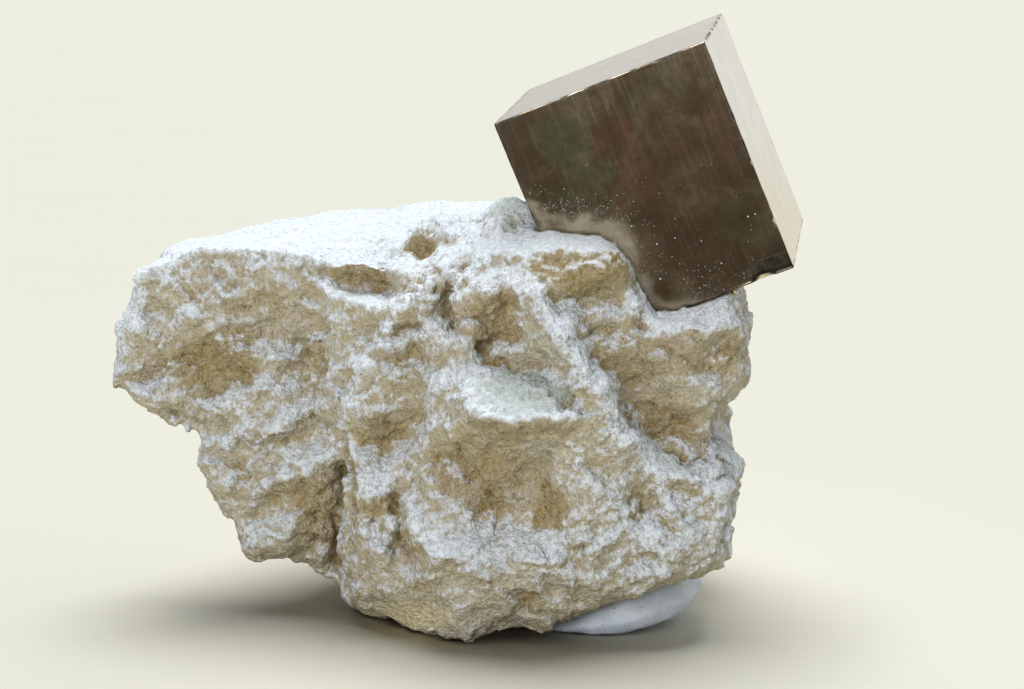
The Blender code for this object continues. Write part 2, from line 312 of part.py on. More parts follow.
# The bright ridge that slants down to the right, and the broad rib that it becomes
RIDGE_LINES = [
    [(5.0, 29.4, -3.0), (6.2, 29.2, -3.6), (7.1, 28.4, -4.0), (7.4, 27.7, -3.9)],
    [(5.8, 28.0, -3.5), (6.2, 27.2, -3.9), (8.1, 26.3, -4.5), (8.9, 25.2, -4.9), (9.7, 23.9, -5.2),
     (10.2, 22.7, -5.4), (11.0, 22.0, -5.4), (12.2, 21.6, -5.0), (12.7, 20.5, -4.8), (12.9, 19.0, -4.6),
     (13.2, 17.7, -4.4), (14.3, 16.6, -3.8), (15.3, 15.7, -3.0)],
    [(5.6, 26.8, -3.4), (6.3, 25.6, -3.9), (6.4, 24.8, -4.0), (7.5, 24.1, -4.3), (8.1, 22.9, -4.6),
     (8.2, 21.9, -4.5), (9.0, 21.1, -4.7), (9.9, 20.1, -5.3)],
    [(7.6, 25.3, -4.9), (9.0, 23.2, -5.3), (9.6, 21.9, -5.6), (11.2, 20.8, -5.7), (11.6, 19.4, -5.7)],
    [(10.4, 18.4, -5.9), (11.6, 17.8, -5.4), (12.8, 16.9, -4.9), (13.8, 15.5, -4.2)],
    [(10.0, 16.4, -5.6), (9.8, 15.2, -5.3), (10.0, 13.8, -5.1), (9.6, 12.4, -4.8), (9.2, 11.0, -4.4)],
    [(11.6, 15.8, -5.0), (12.2, 15.0, -4.6), (11.2, 13.8, -5.0), (11.8, 12.4, -4.9), (11.4, 10.8, -4.7)],
    [(13.7, 13.4, -4.1), (13.2, 11.8, -4.3), (13.6, 10.4, -3.9)],
    [(10.2, 9.6, -4.5), (11.2, 9.2, -4.1), (12.4, 9.4, -4.2), (14.0, 9.0, -3.7)],
    [(10.0, 8.0, -3.3), (9.4, 8.3, -3.9), (10.6, 7.6, -4.3), (11.8, 8.2, -4.3)],
    [(12.3, 7.6, -3.3), (13.0, 8.1, -3.9), (13.8, 7.4, -3.6)],
]

# The faces right of the ridge, with their cracks, and the brown hollow under them
RIGHT_FACE_LINES = [
    [(8.4, 27.3, -3.6), (9.3, 26.8, -3.9), (10.1, 26.1, -3.3)],
    [(9.7, 25.7, -3.2), (9.9, 25.2, -2.9), (10.5, 24.4, -3.4), (10.9, 23.2, -3.6), (11.4, 22.6, -3.4)],
    [(8.9, 28.0, -2.9), (10.8, 27.9, -2.6), (12.6, 27.8, -2.1)],
    [(10.6, 26.8, -3.0), (12.6, 26.9, -2.6), (13.4, 26.4, -2.4)],
    [(10.6, 25.8, -2.3), (12.3, 25.7, -2.1), (14.0, 25.6, -2.2)],
    [(11.2, 25.0, -2.9), (13.2, 24.7, -2.9), (15.0, 25.0, -2.6), (17.0, 25.6, -2.6), (19.2, 25.4, -2.5)],
    [(11.4, 23.9, -2.7), (11.6, 23.0, -2.3), (12.2, 22.4, -2.0)],
    [(12.4, 23.7, -3.2), (13.6, 24.1, -3.1), (15.0, 23.9, -2.8), (15.9, 23.1, -2.5)],
    [(15.4, 24.5, -2.3), (16.6, 24.4, -2.2), (17.6, 23.9, -1.9)],
    [(16.2, 23.4, -2.9), (17.4, 23.7, -2.9), (18.6, 23.9, -2.3), (19.6, 23.1, -1.9)],
    [(18.2, 24.6, -2.5), (20.0, 24.4, -2.2), (20.8, 25.0, -1.8)],
    [(12.8, 21.8, -2.4), (13.6, 22.6, -2.2), (14.9, 22.8, -2.1), (15.8, 22.2, -2.3)],
    [(16.8, 22.4, -2.4), (18.0, 22.0, -2.4), (19.0, 22.4, -1.6), (20.1, 22.3, -0.9), (20.9, 22.3, -0.6)],
    [(14.2, 21.3, -1.3), (15.8, 20.9, -1.4), (17.4, 21.2, -2.1), (18.8, 20.9, -2.1), (20.2, 21.4, -1.8),
     (21.2, 21.4, -0.9), (22.2, 21.4, 0.4)],
    [(13.5, 20.5, -1.4), (13.4, 19.2, -1.2), (13.7, 18.0, -1.2), (14.7, 17.1, -0.6), (15.3, 16.3, 0.2),
     (16.6, 15.8, 1.0)],
    [(15.0, 19.6, -0.3), (15.0, 18.4, 0.0), (16.4, 17.6, 0.9), (17.8, 16.6, 1.6)],
    [(17.0, 20.2, -0.8), (17.2, 19.0, 0.5), (18.8, 18.0, 1.1), (19.6, 16.8, 1.4)],
    [(18.6, 19.9, -0.9), (20.0, 19.5, -0.6), (21.4, 20.0, -0.4), (22.3, 19.8, 0.8)],
    [(19.6, 18.6, 0.7), (20.9, 18.5, 0.7), (21.2, 17.4, 0.9), (20.9, 16.2, 1.2)],
    [(17.7, 15.5, 1.6), (19.0, 15.3, 2.4), (20.3, 15.3, 1.9), (21.3, 15.6, 1.4)],
]

# The block at the lower right: its pale top, its ledgy face, its pits and cracks
LOWER_RIGHT_LINES = [
    [(14.2, 15.2, -3.4), (15.6, 15.0, -2.6), (17.2, 14.7, -1.6), (18.8, 14.7, -0.8), (20.4, 14.8, -0.2)],
    [(14.9, 14.1, -3.6), (16.4, 13.8, -3.0), (18.2, 13.6, -2.7), (20.0, 13.9, -2.2), (21.6, 14.0, -1.4),
     (22.8, 14.0, -0.2)],
    [(15.3, 13.4, -3.1), (16.4, 12.8, -2.7), (17.4, 12.9, -2.4)],
    [(14.7, 12.5, -2.5), (15.2, 12.1, -2.1), (14.7, 11.2, -2.3), (14.7, 10.2, -2.9)],
    [(15.9, 12.4, -3.0), (15.6, 11.0, -3.2), (15.8, 9.9, -3.2)],
    [(18.2, 13.0, -2.0), (18.6, 12.4, -1.7), (19.0, 11.8, -2.0)],
    [(17.2, 12.0, -3.1), (17.6, 11.0, -3.2), (19.0, 10.9, -2.5), (20.4, 11.5, -1.9), (21.6, 11.4, -1.2)],
    [(20.2, 12.8, -2.1), (21.6, 12.8, -1.4), (22.7, 12.9, -0.2)],
    [(19.0, 9.9, -2.1), (20.0, 10.3, -1.7), (20.3, 9.7, -1.8)],
    [(16.2, 9.8, -2.7), (17.2, 9.4, -2.4), (18.3, 9.2, -2.2)],
    [(14.8, 8.9, -3.5), (16.2, 8.8, -3.4), (17.6, 8.5, -3.2), (19.2, 8.9, -2.7), (20.9, 9.4, -2.0),
     (22.0, 9.6, -0.8)],
    [(21.4, 8.6, -1.0), (21.7, 8.2, -0.4), (21.5, 7.4, -0.8)],
    [(14.2, 7.8, -3.5), (15.4, 7.8, -3.4), (16.4, 7.6, -3.4), (18.2, 7.4, -3.0), (20.0, 7.8, -2.3)],
    [(14.0, 6.6, -2.7), (15.0, 6.9, -2.4), (15.8, 6.9, -2.2), (16.8, 6.8, -2.9)],
    [(14.3, 5.8, -3.1), (15.3, 5.7, -3.2), (15.9, 6.0, -2.9), (17.4, 5.9, -2.7), (18.4, 6.2, -2.3)],
    [(19.0, 6.4, -1.6), (20.2, 6.9, -1.4), (21.2, 6.9, -0.8)],
    [(19.2, 5.8, -1.2), (20.6, 6.0, -0.6), (22.0, 6.8, 0.6)],
    [(13.2, 6.8, -3.8), (12.4, 6.0, -3.6), (13.4, 4.8, -3.2), (15.0, 4.6, -2.6), (16.8, 5.1, -2.1)],
    [(11.0, 6.6, -4.2), (10.8, 5.0, -3.9), (11.4, 3.8, -3.2), (13.0, 3.8, -2.6), (14.8, 4.1, -2.0)],
]

# The foot of the front: the white band, and the pitted face down to the lower edge
FOOT_LINES = [
    [(-3.3, 9.2, -2.2), (-2.0, 9.0, -2.7), (-0.4, 9.0, -2.9), (1.2, 8.9, -2.6), (2.8, 8.9, -2.6),
     (4.4, 8.7, -3.0), (6.2, 8.4, -3.3), (8.2, 8.2, -3.6)],
    [(-3.0, 7.8, -3.0), (-1.6, 7.9, -3.3), (0.0, 8.3, -3.0), (1.2, 8.1, -3.2), (2.2, 7.6, -3.4)],
    [(3.2, 7.8, -2.9), (3.8, 7.7, -2.8), (4.6, 7.9, -3.5)],
    [(-2.7, 7.1, -3.5), (-1.2, 7.1, -3.9), (0.4, 6.9, -4.1), (1.8, 6.9, -4.0), (3.4, 6.7, -4.1),
     (5.0, 6.9, -4.0), (6.6, 7.2, -4.2), (7.6, 7.8, -4.3), (8.3, 7.2, -4.1)],
    [(8.6, 7.4, -3.5), (9.2, 7.6, -3.5), (8.8, 6.6, -3.5)],
    [(-2.8, 6.2, -3.0), (-1.6, 6.2, -3.5), (-0.9, 5.8, -3.1)],
    [(0.4, 5.8, -3.6), (0.2, 5.3, -3.3), (1.2, 5.4, -4.0), (2.3, 5.2, -3.7), (2.6, 4.5, -3.1)],
    [(3.6, 5.6, -3.9), (5.2, 5.6, -3.9), (6.8, 5.8, -4.1), (8.4, 5.8, -4.2), (9.3, 5.6, -3.8)],
    [(-2.9, 5.1, -2.5), (-1.6, 4.6, -2.7), (-0.9, 4.0, -2.4), (0.4, 4.2, -3.2), (2.0, 4.0, -3.2)],
    [(3.4, 4.3, -3.5), (4.4, 4.5, -3.5), (5.1, 4.0, -3.2)],
    [(5.3, 3.4, -2.0), (5.9, 4.0, -2.5), (6.3, 3.2, -2.3), (7.0, 2.8, -2.3)],
    [(6.4, 4.4, -3.6), (7.2, 5.0, -3.7), (8.4, 5.1, -3.8), (9.1, 4.6, -3.5), (9.0, 3.6, -3.1),
     (8.0, 3.1, -3.0), (6.9, 3.4, -3.2)],
    [(7.4, 4.4, -2.6), (8.2, 4.5, -2.6)],
    [(9.3, 5.0, -3.2), (9.7, 4.1, -2.5), (9.6, 3.1, -2.2)],
    [(-1.2, 3.2, -1.9), (-0.2, 2.6, -2.3), (1.2, 3.2, -2.9), (2.8, 3.2, -3.0), (4.2, 3.2, -2.8)],
    [(-0.8, 1.6, -1.3), (0.6, 1.4, -1.8), (1.8, 1.4, -1.6), (3.0, 2.0, -2.3), (3.9, 1.8, -1.4),
     (5.0, 2.2, -1.9), (6.4, 2.0, -1.9), (7.8, 1.7, -1.7), (9.4, 2.3, -1.9), (11.0, 3.0, -2.1)],
]

# Hidden places, as plain (x, y, z): under the crystal, behind, at the right end and underneath
UNDER_CRYSTAL = [
    (8.0, 6.0, 35.2), (8.0, 12.0, 34.8), (8.0, 20.0, 34.5), (12.0, 8.0, 33.4), (12.0, 16.0, 33.6),
    (18.0, 6.0, 31.2), (18.0, 16.0, 31.8), (22.0, 5.0, 31.0), (22.0, 15.0, 31.4), (14.0, 24.0, 33.0),
    (20.0, 23.5, 30.8), (24.0, 6.0, 30.2), (24.4, 14.0, 30.2), (24.2, 21.0, 29.0),
]
TOP_FACE = [
    (-22.0, 11.5, 32.6), (-17.0, 13.0, 33.0), (-12.0, 12.0, 32.9), (-12.0, 18.0, 33.5),
    (-7.0, 12.0, 33.0), (-7.0, 19.0, 33.6), (-4.0, 15.0, 33.6), (-1.0, 17.0, 34.2),
    (-1.0, 24.0, 34.0), (3.0, 15.0, 35.0), (4.0, 22.0, 34.4), (6.5, 26.0, 34.6),
]
BACK_FACE = [
    (10.0, 31.0, 33.6), (14.0, 30.5, 32.0), (18.5, 29.0, 30.4), (22.0, 27.0, 28.6),
    (-26.0, 15.0, 27.0), (-24.0, 18.0, 30.4), (-27.0, 14.0, 23.0), (-25.0, 16.5, 20.4),
    (-20.0, 20.5, 31.6), (-20.5, 21.5, 25.0), (-19.0, 20.0, 19.0), (-14.0, 27.0, 31.0),
    (-14.5, 27.5, 24.0), (-13.0, 26.5, 16.0), (-9.0, 31.0, 29.0), (-8.0, 32.0, 21.0),
    (-8.0, 29.5, 12.0), (-7.0, 26.5, 5.0), (-1.0, 33.0, 31.0), (0.0, 34.0, 24.0),
    (1.0, 32.6, 15.0), (1.0, 29.6, 7.0), (6.0, 33.0, 32.0), (8.0, 33.6, 26.0),
    (9.0, 32.6, 18.0), (9.0, 30.4, 9.0), (15.0, 31.6, 29.0), (16.0, 31.8, 22.0),
    (17.0, 30.6, 13.0), (16.0, 28.0, 6.8), (21.5, 28.0, 24.0), (22.6, 26.6, 16.0),
    (21.4, 24.0, 9.0),
]
RIGHT_END = [
    (25.0, 18.0, 22.0), (24.4, 19.0, 13.0), (22.8, 17.0, 8.0), (24.8, 10.0, 21.0),
    (23.6, 10.0, 17.0), (24.4, 9.5, 13.0), (23.8, 8.0, 9.0), (25.2, 12.0, 25.5),
]
LEFT_BACK = [
    (-20.4, 14.0, 13.0), (-18.4, 18.0, 14.5), (-17.4, 15.5, 9.0), (-14.0, 20.0, 8.6),
    (-11.6, 16.0, 5.6), (-10.6, 22.5, 8.0),
]
UNDERSIDE = [
    (-8.4, 12.0, 1.2), (-8.8, 18.0, 2.4), (-5.0, 10.0, -0.8), (-4.5, 18.0, -0.9), (0.5, 8.0, -0.6),
    (1.5, 16.0, -0.3), (-3.5, 24.0, -1.6), (0.5, 25.5, -1.8), (4.0, 24.5, -1.6), (7.0, 8.0, 1.9),
    (9.0, 16.0, 2.6), (10.0, 24.0, 2.2), (14.0, 7.0, 3.9), (15.0, 17.0, 4.9), (19.0, 9.0, 5.4),
    (19.5, 17.0, 6.3), (15.5, 24.5, 5.0),
]

SEEN_GROUPS = (
    TOP_LINES, MOUND_LINES, LEDGE_LINES, WING_LINES, RECESS_LINES, LOWER_LEFT_LINES,
    BUTTRESS_LINES, RIB_LINES, SHELF_LINES, RIDGE_LINES, RIGHT_FACE_LINES,
    LOWER_RIGHT_LINES, FOOT_LINES, [BACK_RIM, FRONT_RIM, RIGHT_OUTLINE, LOWER_EDGE],
)
PLAIN_GROUPS = (UNDER_CRYSTAL, TOP_FACE, BACK_FACE, RIGHT_END, LEFT_BACK, UNDERSIDE)


def clear_objects():
    for thing in list(bpy.data.objects):
        bpy.data.objects.remove(thing, do_unlink=True)


def finish_material(name, colour, roughness, metallic):
    finish = bpy.data.materials.new(name)
    finish.use_nodes = True
    shader = finish.node_tree.nodes["Principled BSDF"]
    shader.inputs["Base Color"].default_value = (*colour, 1.0)
    shader.inputs["Roughness"].default_value = roughness
    shader.inputs["Metallic"].default_value = metallic
    return finish


def object_from(bm, name, finish=None):
    """A new object in metres from a bmesh in millimetres, which is freed."""
    bmesh.ops.scale(bm, vec=(MM, MM, MM), verts=bm.verts)
    mesh = bpy.data.meshes.new(name)
    bm.to_mesh(mesh)
    bm.free()
    thing = bpy.data.objects.new(name, mesh)
    bpy.context.scene.collection.objects.link(thing)
    if finish:
        mesh.materials.append(finish)
    return thing


def along(line):
    """The points of one seen line, with more between them where they lie far apart."""
    corners = [seen(*place) for place in line]
    points = [corners[0]]
    for start, end in zip(corners, corners[1:]):
        steps = max(1, math.ceil((end - start).length / LINE_STEP))
        points += [start.lerp(end, step / steps) for step in range(1, steps + 1)]
    return points


def marl_points():
    points = []
    for group in SEEN_GROUPS:
        for line in group:
            points += along(line)
    for group in PLAIN_GROUPS:
        points += [Vector(place) for place in group]
    return points


def web_over(points):
    """A closed web of triangles over points that all face outward from the core."""
    kept = []
    directions = []
    for point in points:
        direction = (point - CORE).normalized()
        if all((direction - other).length > NEAREST_DIRECTIONS for other in directions):
            kept.append(point)
            directions.append(direction)
    bm = bmesh.new()
    corners = [bm.verts.new(direction) for direction in directions]
    bmesh.ops.convex_hull(bm, input=corners)
    for corner, point in zip(corners, kept):
        corner.co = point
    loose = [corner for corner in bm.verts if not corner.link_faces]
    bmesh.ops.delete(bm, geom=loose, context="VERTS")
    bmesh.ops.recalc_face_normals(bm, faces=bm.faces)
    return bm


def refine(bm):
    """Splits every edge that is longer than the limit, a few times over."""
    for _ in range(REFINE_PASSES):
        long_edges = [edge for edge in bm.edges if edge.calc_length() > EDGE_LIMIT]
        bmesh.ops.subdivide_edges(bm, edges=long_edges, cuts=1)
        bmesh.ops.triangulate(bm, faces=bm.faces)


def hackle(point):
    """Small angular steps, as a broken marl surface has, from about -1 to 1."""
    near, second = noise.voronoi(point / HACKLE_CELL)[0][:2]
    return 1.6 * (second - near) - 0.6 + 0.5 * noise.noise(point * 1.1)


def blocks(point):
    """Broad lumps and hollows of the faces that are hidden from the front."""
    near, second = noise.voronoi(point / BLOCK_CELL + Vector((3.1, 7.7, 1.9)))[0][:2]
    return 1.5 * (second - near) - 0.7


def bring_out_relief(bm):
    """Moves the front, to and fro, further from a smoothed copy of itself."""
    bm.verts.ensure_lookup_table()
    smooth = [vert.co.y for vert in bm.verts]
    beside = [[edge.other_vert(vert).index for edge in vert.link_edges] for vert in bm.verts]
    for _ in range(RELIEF_REACH):
        smooth = [sum(smooth[other] for other in others) / len(others) for others in beside]
    bm.normal_update()
    for vert in bm.verts:
        facing = min(1.0, max(0.0, -1.6 * vert.normal.y))
        vert.co.y += RELIEF_GAIN * facing * (vert.co.y - smooth[vert.index])


def break_up(bm):
    bm.normal_update()
    moved = []
    for vert in bm.verts:
        hidden = min(1.0, max(0.0, (vert.co.y - HIDDEN_FROM) / HIDDEN_OVER))
        flat_top = min(1.0, max(0.0, (vert.normal.z - 0.55) * 4.0))
        height = HACKLE_HEIGHT * hackle(vert.co) * (0.7 + 0.8 * hidden)
        height += BLOCK_HEIGHT * blocks(vert.co) * hidden
        moved.append(vert.co + vert.normal * height * (1.0 - 0.75 * flat_top))
    for vert, place in zip(bm.verts, moved):
        vert.co = place
        vert.co.z = max(-FOOT_SINK, vert.co.z)


def crystal_bmesh(grow):
    bm = bmesh.new()
    bmesh.ops.create_cube(bm, size=1.0)
    size = Vector((CRYSTAL_WIDTH, CRYSTAL_DEPTH, CRYSTAL_HEIGHT)) + Vector((grow, grow, grow)) * 2.0
    bmesh.ops.scale(bm, vec=size, verts=bm.verts)
    bmesh.ops.transform(bm, matrix=Matrix.Translation(CRYSTAL_CENTRE) @ CRYSTAL_TURN.to_matrix().to_4x4(),
                        verts=bm.verts)
    return bm


def make_crystal():
    bm = crystal_bmesh(0.0)
    bmesh.ops.bevel(bm, geom=bm.edges, offset=CRYSTAL_BEVEL, segments=1, affect="EDGES")
    bmesh.ops.triangulate(bm, faces=bm.faces)
    finish = finish_material("pyrite", (0.42, 0.36, 0.24), 0.22, 1.0)
    return object_from(bm, "pyrite_crystal", finish)


def cutter_from(bm, name):
    cutter = object_from(bm, name)
    cutter.hide_render = True
    cutter.display_type = "WIRE"
    return cutter


def ground_bmesh():
    """A slab whose top is the ground, to cut the marl's foot flat where it stands."""
    bm = bmesh.new()
    bmesh.ops.create_cube(bm, size=1.0)
    bmesh.ops.scale(bm, vec=(GROUND_SPAN, GROUND_SPAN, GROUND_DEPTH), verts=bm.verts)
    bmesh.ops.translate(bm, vec=(0.0, 0.0, -GROUND_DEPTH / 2.0), verts=bm.verts)
    return bm


def make_marl(cutters):
    bm = web_over(marl_points())
    refine(bm)
    bring_out_relief(bm)
    break_up(bm)
    marl = object_from(bm, "marl_matrix", finish_material("marl", (0.55, 0.48, 0.36), 0.9, 0.0))
    skin = marl.modifiers.new("one_skin", "REMESH")
    skin.mode = "VOXEL"
    skin.voxel_size = SKIN_VOXEL * MM
    fewer = marl.modifiers.new("fewer_faces", "DECIMATE")
    fewer.ratio = SKIN_RATIO
    for cutter in cutters:
        cut = marl.modifiers.new(cutter.name, "BOOLEAN")
        cut.operation = "DIFFERENCE"
        cut.solver = "EXACT"
        cut.object = cutter
    return marl


def underside_height(tree, x, y):
    """How high the marl hangs over a place, taken at the lowest of five nearby rays, in mm."""
    heights = []
    for dx, dy in ((0.0, 0.0), (0.6, 0.0), (-0.6, 0.0), (0.0, 0.6), (0.0, -0.6)):
        foot = Vector(((x + dx) * MM, (y + dy) * MM, -1.0 * MM))
        hit = tree.ray_cast(foot, Vector((0.0, 0.0, 1.0)))[0]
        if hit is not None:
            heights.append(hit.z / MM)
    return min(heights) if heights else None


def make_putty(marl):
    """A pad pressed under the marl: flat below, rounded at its rim, its right end lifted."""
    bpy.context.view_layer.update()
    tree = BVHTree.FromObject(marl, bpy.context.evaluated_depsgraph_get())
    middle_x = (PUTTY_LEFT + PUTTY_RIGHT) / 2.0
    half_x = (PUTTY_RIGHT - PUTTY_LEFT) / 2.0
    middle_y = (PUTTY_FRONT + PUTTY_BACK) / 2.0
    half_y = (PUTTY_BACK - PUTTY_FRONT) / 2.0
    bm = bmesh.new()

    def bottom_at(x):
        lift = max(0.0, (x - PUTTY_FOOT) / (PUTTY_RIGHT - PUTTY_FOOT))
        return PUTTY_LIFT * lift ** 1.3

    def place(ring, spoke):
        out = ring / PUTTY_RINGS
        turn = 2.0 * math.pi * spoke / PUTTY_SPOKES
        wave = 1.0 + 0.05 * math.sin(3.0 * turn + 0.6)
        return (middle_x + half_x * out * wave * math.cos(turn),
                middle_y + half_y * out * wave * math.sin(turn), out)

    def heights(x, y, out):
        floor = bottom_at(x)
        roof = underside_height(tree, x, y)
        roof = floor + 3.0 if roof is None else roof - PUTTY_GAP
        roof = max(floor + 0.5, min(roof, floor + 5.2))
        middle = floor + 0.42 * (roof - floor)
        bend = max(0.0, (out - PUTTY_FLAT) / (1.0 - PUTTY_FLAT))
        swell = math.sqrt(max(0.0, 1.0 - bend ** 3))
        return middle + (floor - middle) * swell, middle + (roof - middle) * swell

    columns = {}
    for ring in range(PUTTY_RINGS):
        for spoke in range(1 if ring == 0 else PUTTY_SPOKES):
            x, y, out = place(ring, spoke)
            low, high = heights(x, y, out)
            columns[ring, spoke] = (bm.verts.new((x, y, low)), bm.verts.new((x, y, high)))
    rim = []
    for spoke in range(PUTTY_SPOKES):
        x, y, out = place(PUTTY_RINGS, spoke)
        rim.append(bm.verts.new((x, y, heights(x, y, out)[0])))
    for spoke in range(PUTTY_SPOKES):
        after = (spoke + 1) % PUTTY_SPOKES
        bm.faces.new((columns[0, 0][0], columns[1, after][0], columns[1, spoke][0]))
        bm.faces.new((columns[0, 0][1], columns[1, spoke][1], columns[1, after][1]))
        for ring in range(1, PUTTY_RINGS - 1):
            here, across = columns[ring, spoke], columns[ring, after]
            out, out_across = columns[ring + 1, spoke], columns[ring + 1, after]
            bm.faces.new((here[0], across[0], out_across[0], out[0]))
            bm.faces.new((here[1], out[1], out_across[1], across[1]))
        last, last_across = columns[PUTTY_RINGS - 1, spoke], columns[PUTTY_RINGS - 1, after]
        bm.faces.new((last[0], last_across[0], rim[after], rim[spoke]))
        bm.faces.new((last[1], rim[spoke], rim[after], last_across[1]))
    bmesh.ops.triangulate(bm, faces=bm.faces)
    bmesh.ops.recalc_face_normals(bm, faces=bm.faces)
    return object_from(bm, "putty_pad", finish_material("putty", (0.42, 0.43, 0.45), 0.6, 0.0))


def stand_on_origin(things, cutters):
    """Parents the pieces to an empty that brings the middle of their box's base to the origin."""
    bpy.context.view_layer.update()
    graph = bpy.context.evaluated_depsgraph_get()
    corners = []
    for thing in things:
        whole = thing.evaluated_get(graph)
        mesh = whole.to_mesh()
        corners += [whole.matrix_world @ vert.co for vert in mesh.vertices]
        whole.to_mesh_clear()
    low = Vector([min(corner[axis] for corner in corners) for axis in range(3)])
    high = Vector([max(corner[axis] for corner in corners) for axis in range(3)])
    stand = bpy.data.objects.new("stand", None)
    bpy.context.scene.collection.objects.link(stand)
    for thing in [*things, *cutters]:
        thing.parent = stand
    stand.location = (-(low.x + high.x) / 2.0, -(low.y + high.y) / 2.0, -low.z)
    print("size in mm:", [round(value / MM, 2) for value in high - low])
    print("the keel's front is at", [round(value / MM, 3) for value in stand.location])


def main():
    clear_objects()
    crystal = make_crystal()
    cutters = [cutter_from(crystal_bmesh(SOCKET_GAP), "socket"), cutter_from(ground_bmesh(), "ground")]
    marl = make_marl(cutters)
    putty = make_putty(marl)
    stand_on_origin([marl, crystal, putty], cutters)


main()
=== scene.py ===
# %% [markdown]
# A pyrite crystal in marl.
# The real thing is a fist-small lump of pale marl with one sharp crystal of pyrite standing out of it.
# A pea of grey putty under its right side holds it at a tilt.
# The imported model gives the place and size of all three, so this lesson starts by loading it.

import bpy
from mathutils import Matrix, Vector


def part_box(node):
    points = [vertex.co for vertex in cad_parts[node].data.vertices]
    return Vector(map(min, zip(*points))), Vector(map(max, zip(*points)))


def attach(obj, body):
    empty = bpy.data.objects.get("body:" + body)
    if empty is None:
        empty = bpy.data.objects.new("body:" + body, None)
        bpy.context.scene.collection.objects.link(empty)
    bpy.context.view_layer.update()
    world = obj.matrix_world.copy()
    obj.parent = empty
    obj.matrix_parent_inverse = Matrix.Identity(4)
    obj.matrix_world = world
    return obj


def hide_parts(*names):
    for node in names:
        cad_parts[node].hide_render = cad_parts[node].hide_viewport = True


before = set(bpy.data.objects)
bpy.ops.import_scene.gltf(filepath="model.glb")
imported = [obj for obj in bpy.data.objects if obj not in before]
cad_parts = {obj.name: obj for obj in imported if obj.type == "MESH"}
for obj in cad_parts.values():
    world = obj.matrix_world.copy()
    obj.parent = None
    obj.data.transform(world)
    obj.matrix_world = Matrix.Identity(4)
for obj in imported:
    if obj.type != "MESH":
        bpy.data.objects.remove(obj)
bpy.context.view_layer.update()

# %% Libraries and the unit
import math
import random

import bmesh
import bpy
import numpy as np
from mathutils import Euler, Matrix, Vector, noise
from mathutils.bvhtree import BVHTree

MM = 0.001

# %% [markdown]
# The camera comes first, because many small marks of this stone are known only from where they lie in the picture.
# It stands a hand's breadth in front, a little above, and looks ten degrees down, with a long lens.
# The place is given from the middle of the crystal, which is the sharpest thing to aim at.

# %% Camera
CAMERA_FROM_CRYSTAL = Vector((-12.331, -197.68, 19.97))
CAMERA_TILT = math.radians(80)
FOCAL_PIXELS = 2300.0
PICTURE_WIDTH, PICTURE_HEIGHT = 1024, 689
crystal_low, crystal_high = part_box("pyrite_crystal")
crystal_centre = (crystal_low + crystal_high) / (2 * MM)
camera_place = crystal_centre + CAMERA_FROM_CRYSTAL

camera = bpy.data.objects.new("camera", bpy.data.cameras.new("camera"))
camera.data.sensor_width = 36
camera.data.lens = FOCAL_PIXELS / PICTURE_WIDTH * camera.data.sensor_width
camera.data.clip_start, camera.data.clip_end = 0.01, 20
camera.location = camera_place * MM
camera.rotation_euler = (CAMERA_TILT, 0, 0)
bpy.context.scene.collection.objects.link(camera)
bpy.context.scene.camera = camera
print("camera in mm", [round(v, 1) for v in camera_place])

# %% [markdown]
# A mark on the stone is then written as two numbers, in millimetres across and up the picture.
# Their origin is the lowest point of the marl's front.
# This helper gives those two numbers for any points of the model, so that a mark can find the skin it lies on.

# %% Places in the picture
MARK_PIXELS = 12.0
MARK_ORIGIN = (460.0, 640.0)


def picture_place(points):
    """The points' places in the picture, across and up, in millimetres at the marl's front."""
    away = points - np.array(camera_place)
    ahead = away @ np.array((0, math.sin(CAMERA_TILT), -math.cos(CAMERA_TILT)))
    upward = away @ np.array((0, math.cos(CAMERA_TILT), math.sin(CAMERA_TILT)))
    column = PICTURE_WIDTH / 2 + FOCAL_PIXELS * away[:, 0] / ahead
    row = PICTURE_HEIGHT / 2 - FOCAL_PIXELS * upward / ahead
    return (column - MARK_ORIGIN[0]) / MARK_PIXELS, (MARK_ORIGIN[1] - row) / MARK_PIXELS


# %% [markdown]
# Shader nodes read best as sums.
# The class below wraps one output socket, and plus, minus, times and the rest each add a Math node.
# Colours go through a Mix node instead, because a Math node turns a colour grey.

# %% Sums on sockets
class Wire:
    """One output socket of a finish, which takes part in sums."""

    def __init__(self, finish, socket):
        self.finish, self.socket = finish, socket

    def sum(self, operation, *values):
        sockets = dict(enumerate(values))
        return self.finish.node("ShaderNodeMath", {"operation": operation}, sockets)

    def __add__(self, other):
        return self.sum("ADD", self, other)

    def __sub__(self, other):
        return self.sum("SUBTRACT", self, other)

    def __rsub__(self, other):
        return self.sum("SUBTRACT", other, self)

    def __mul__(self, other):
        return self.sum("MULTIPLY", self, other)

    __radd__, __rmul__ = __add__, __mul__

    def clear(self, low, high):
        """0 below low, 1 above high, with a soft step between."""
        sockets = {"Value": self, "From Min": low, "From Max": high}
        return self.finish.node("ShaderNodeMapRange", {"interpolation_type": "SMOOTHSTEP"}, sockets)


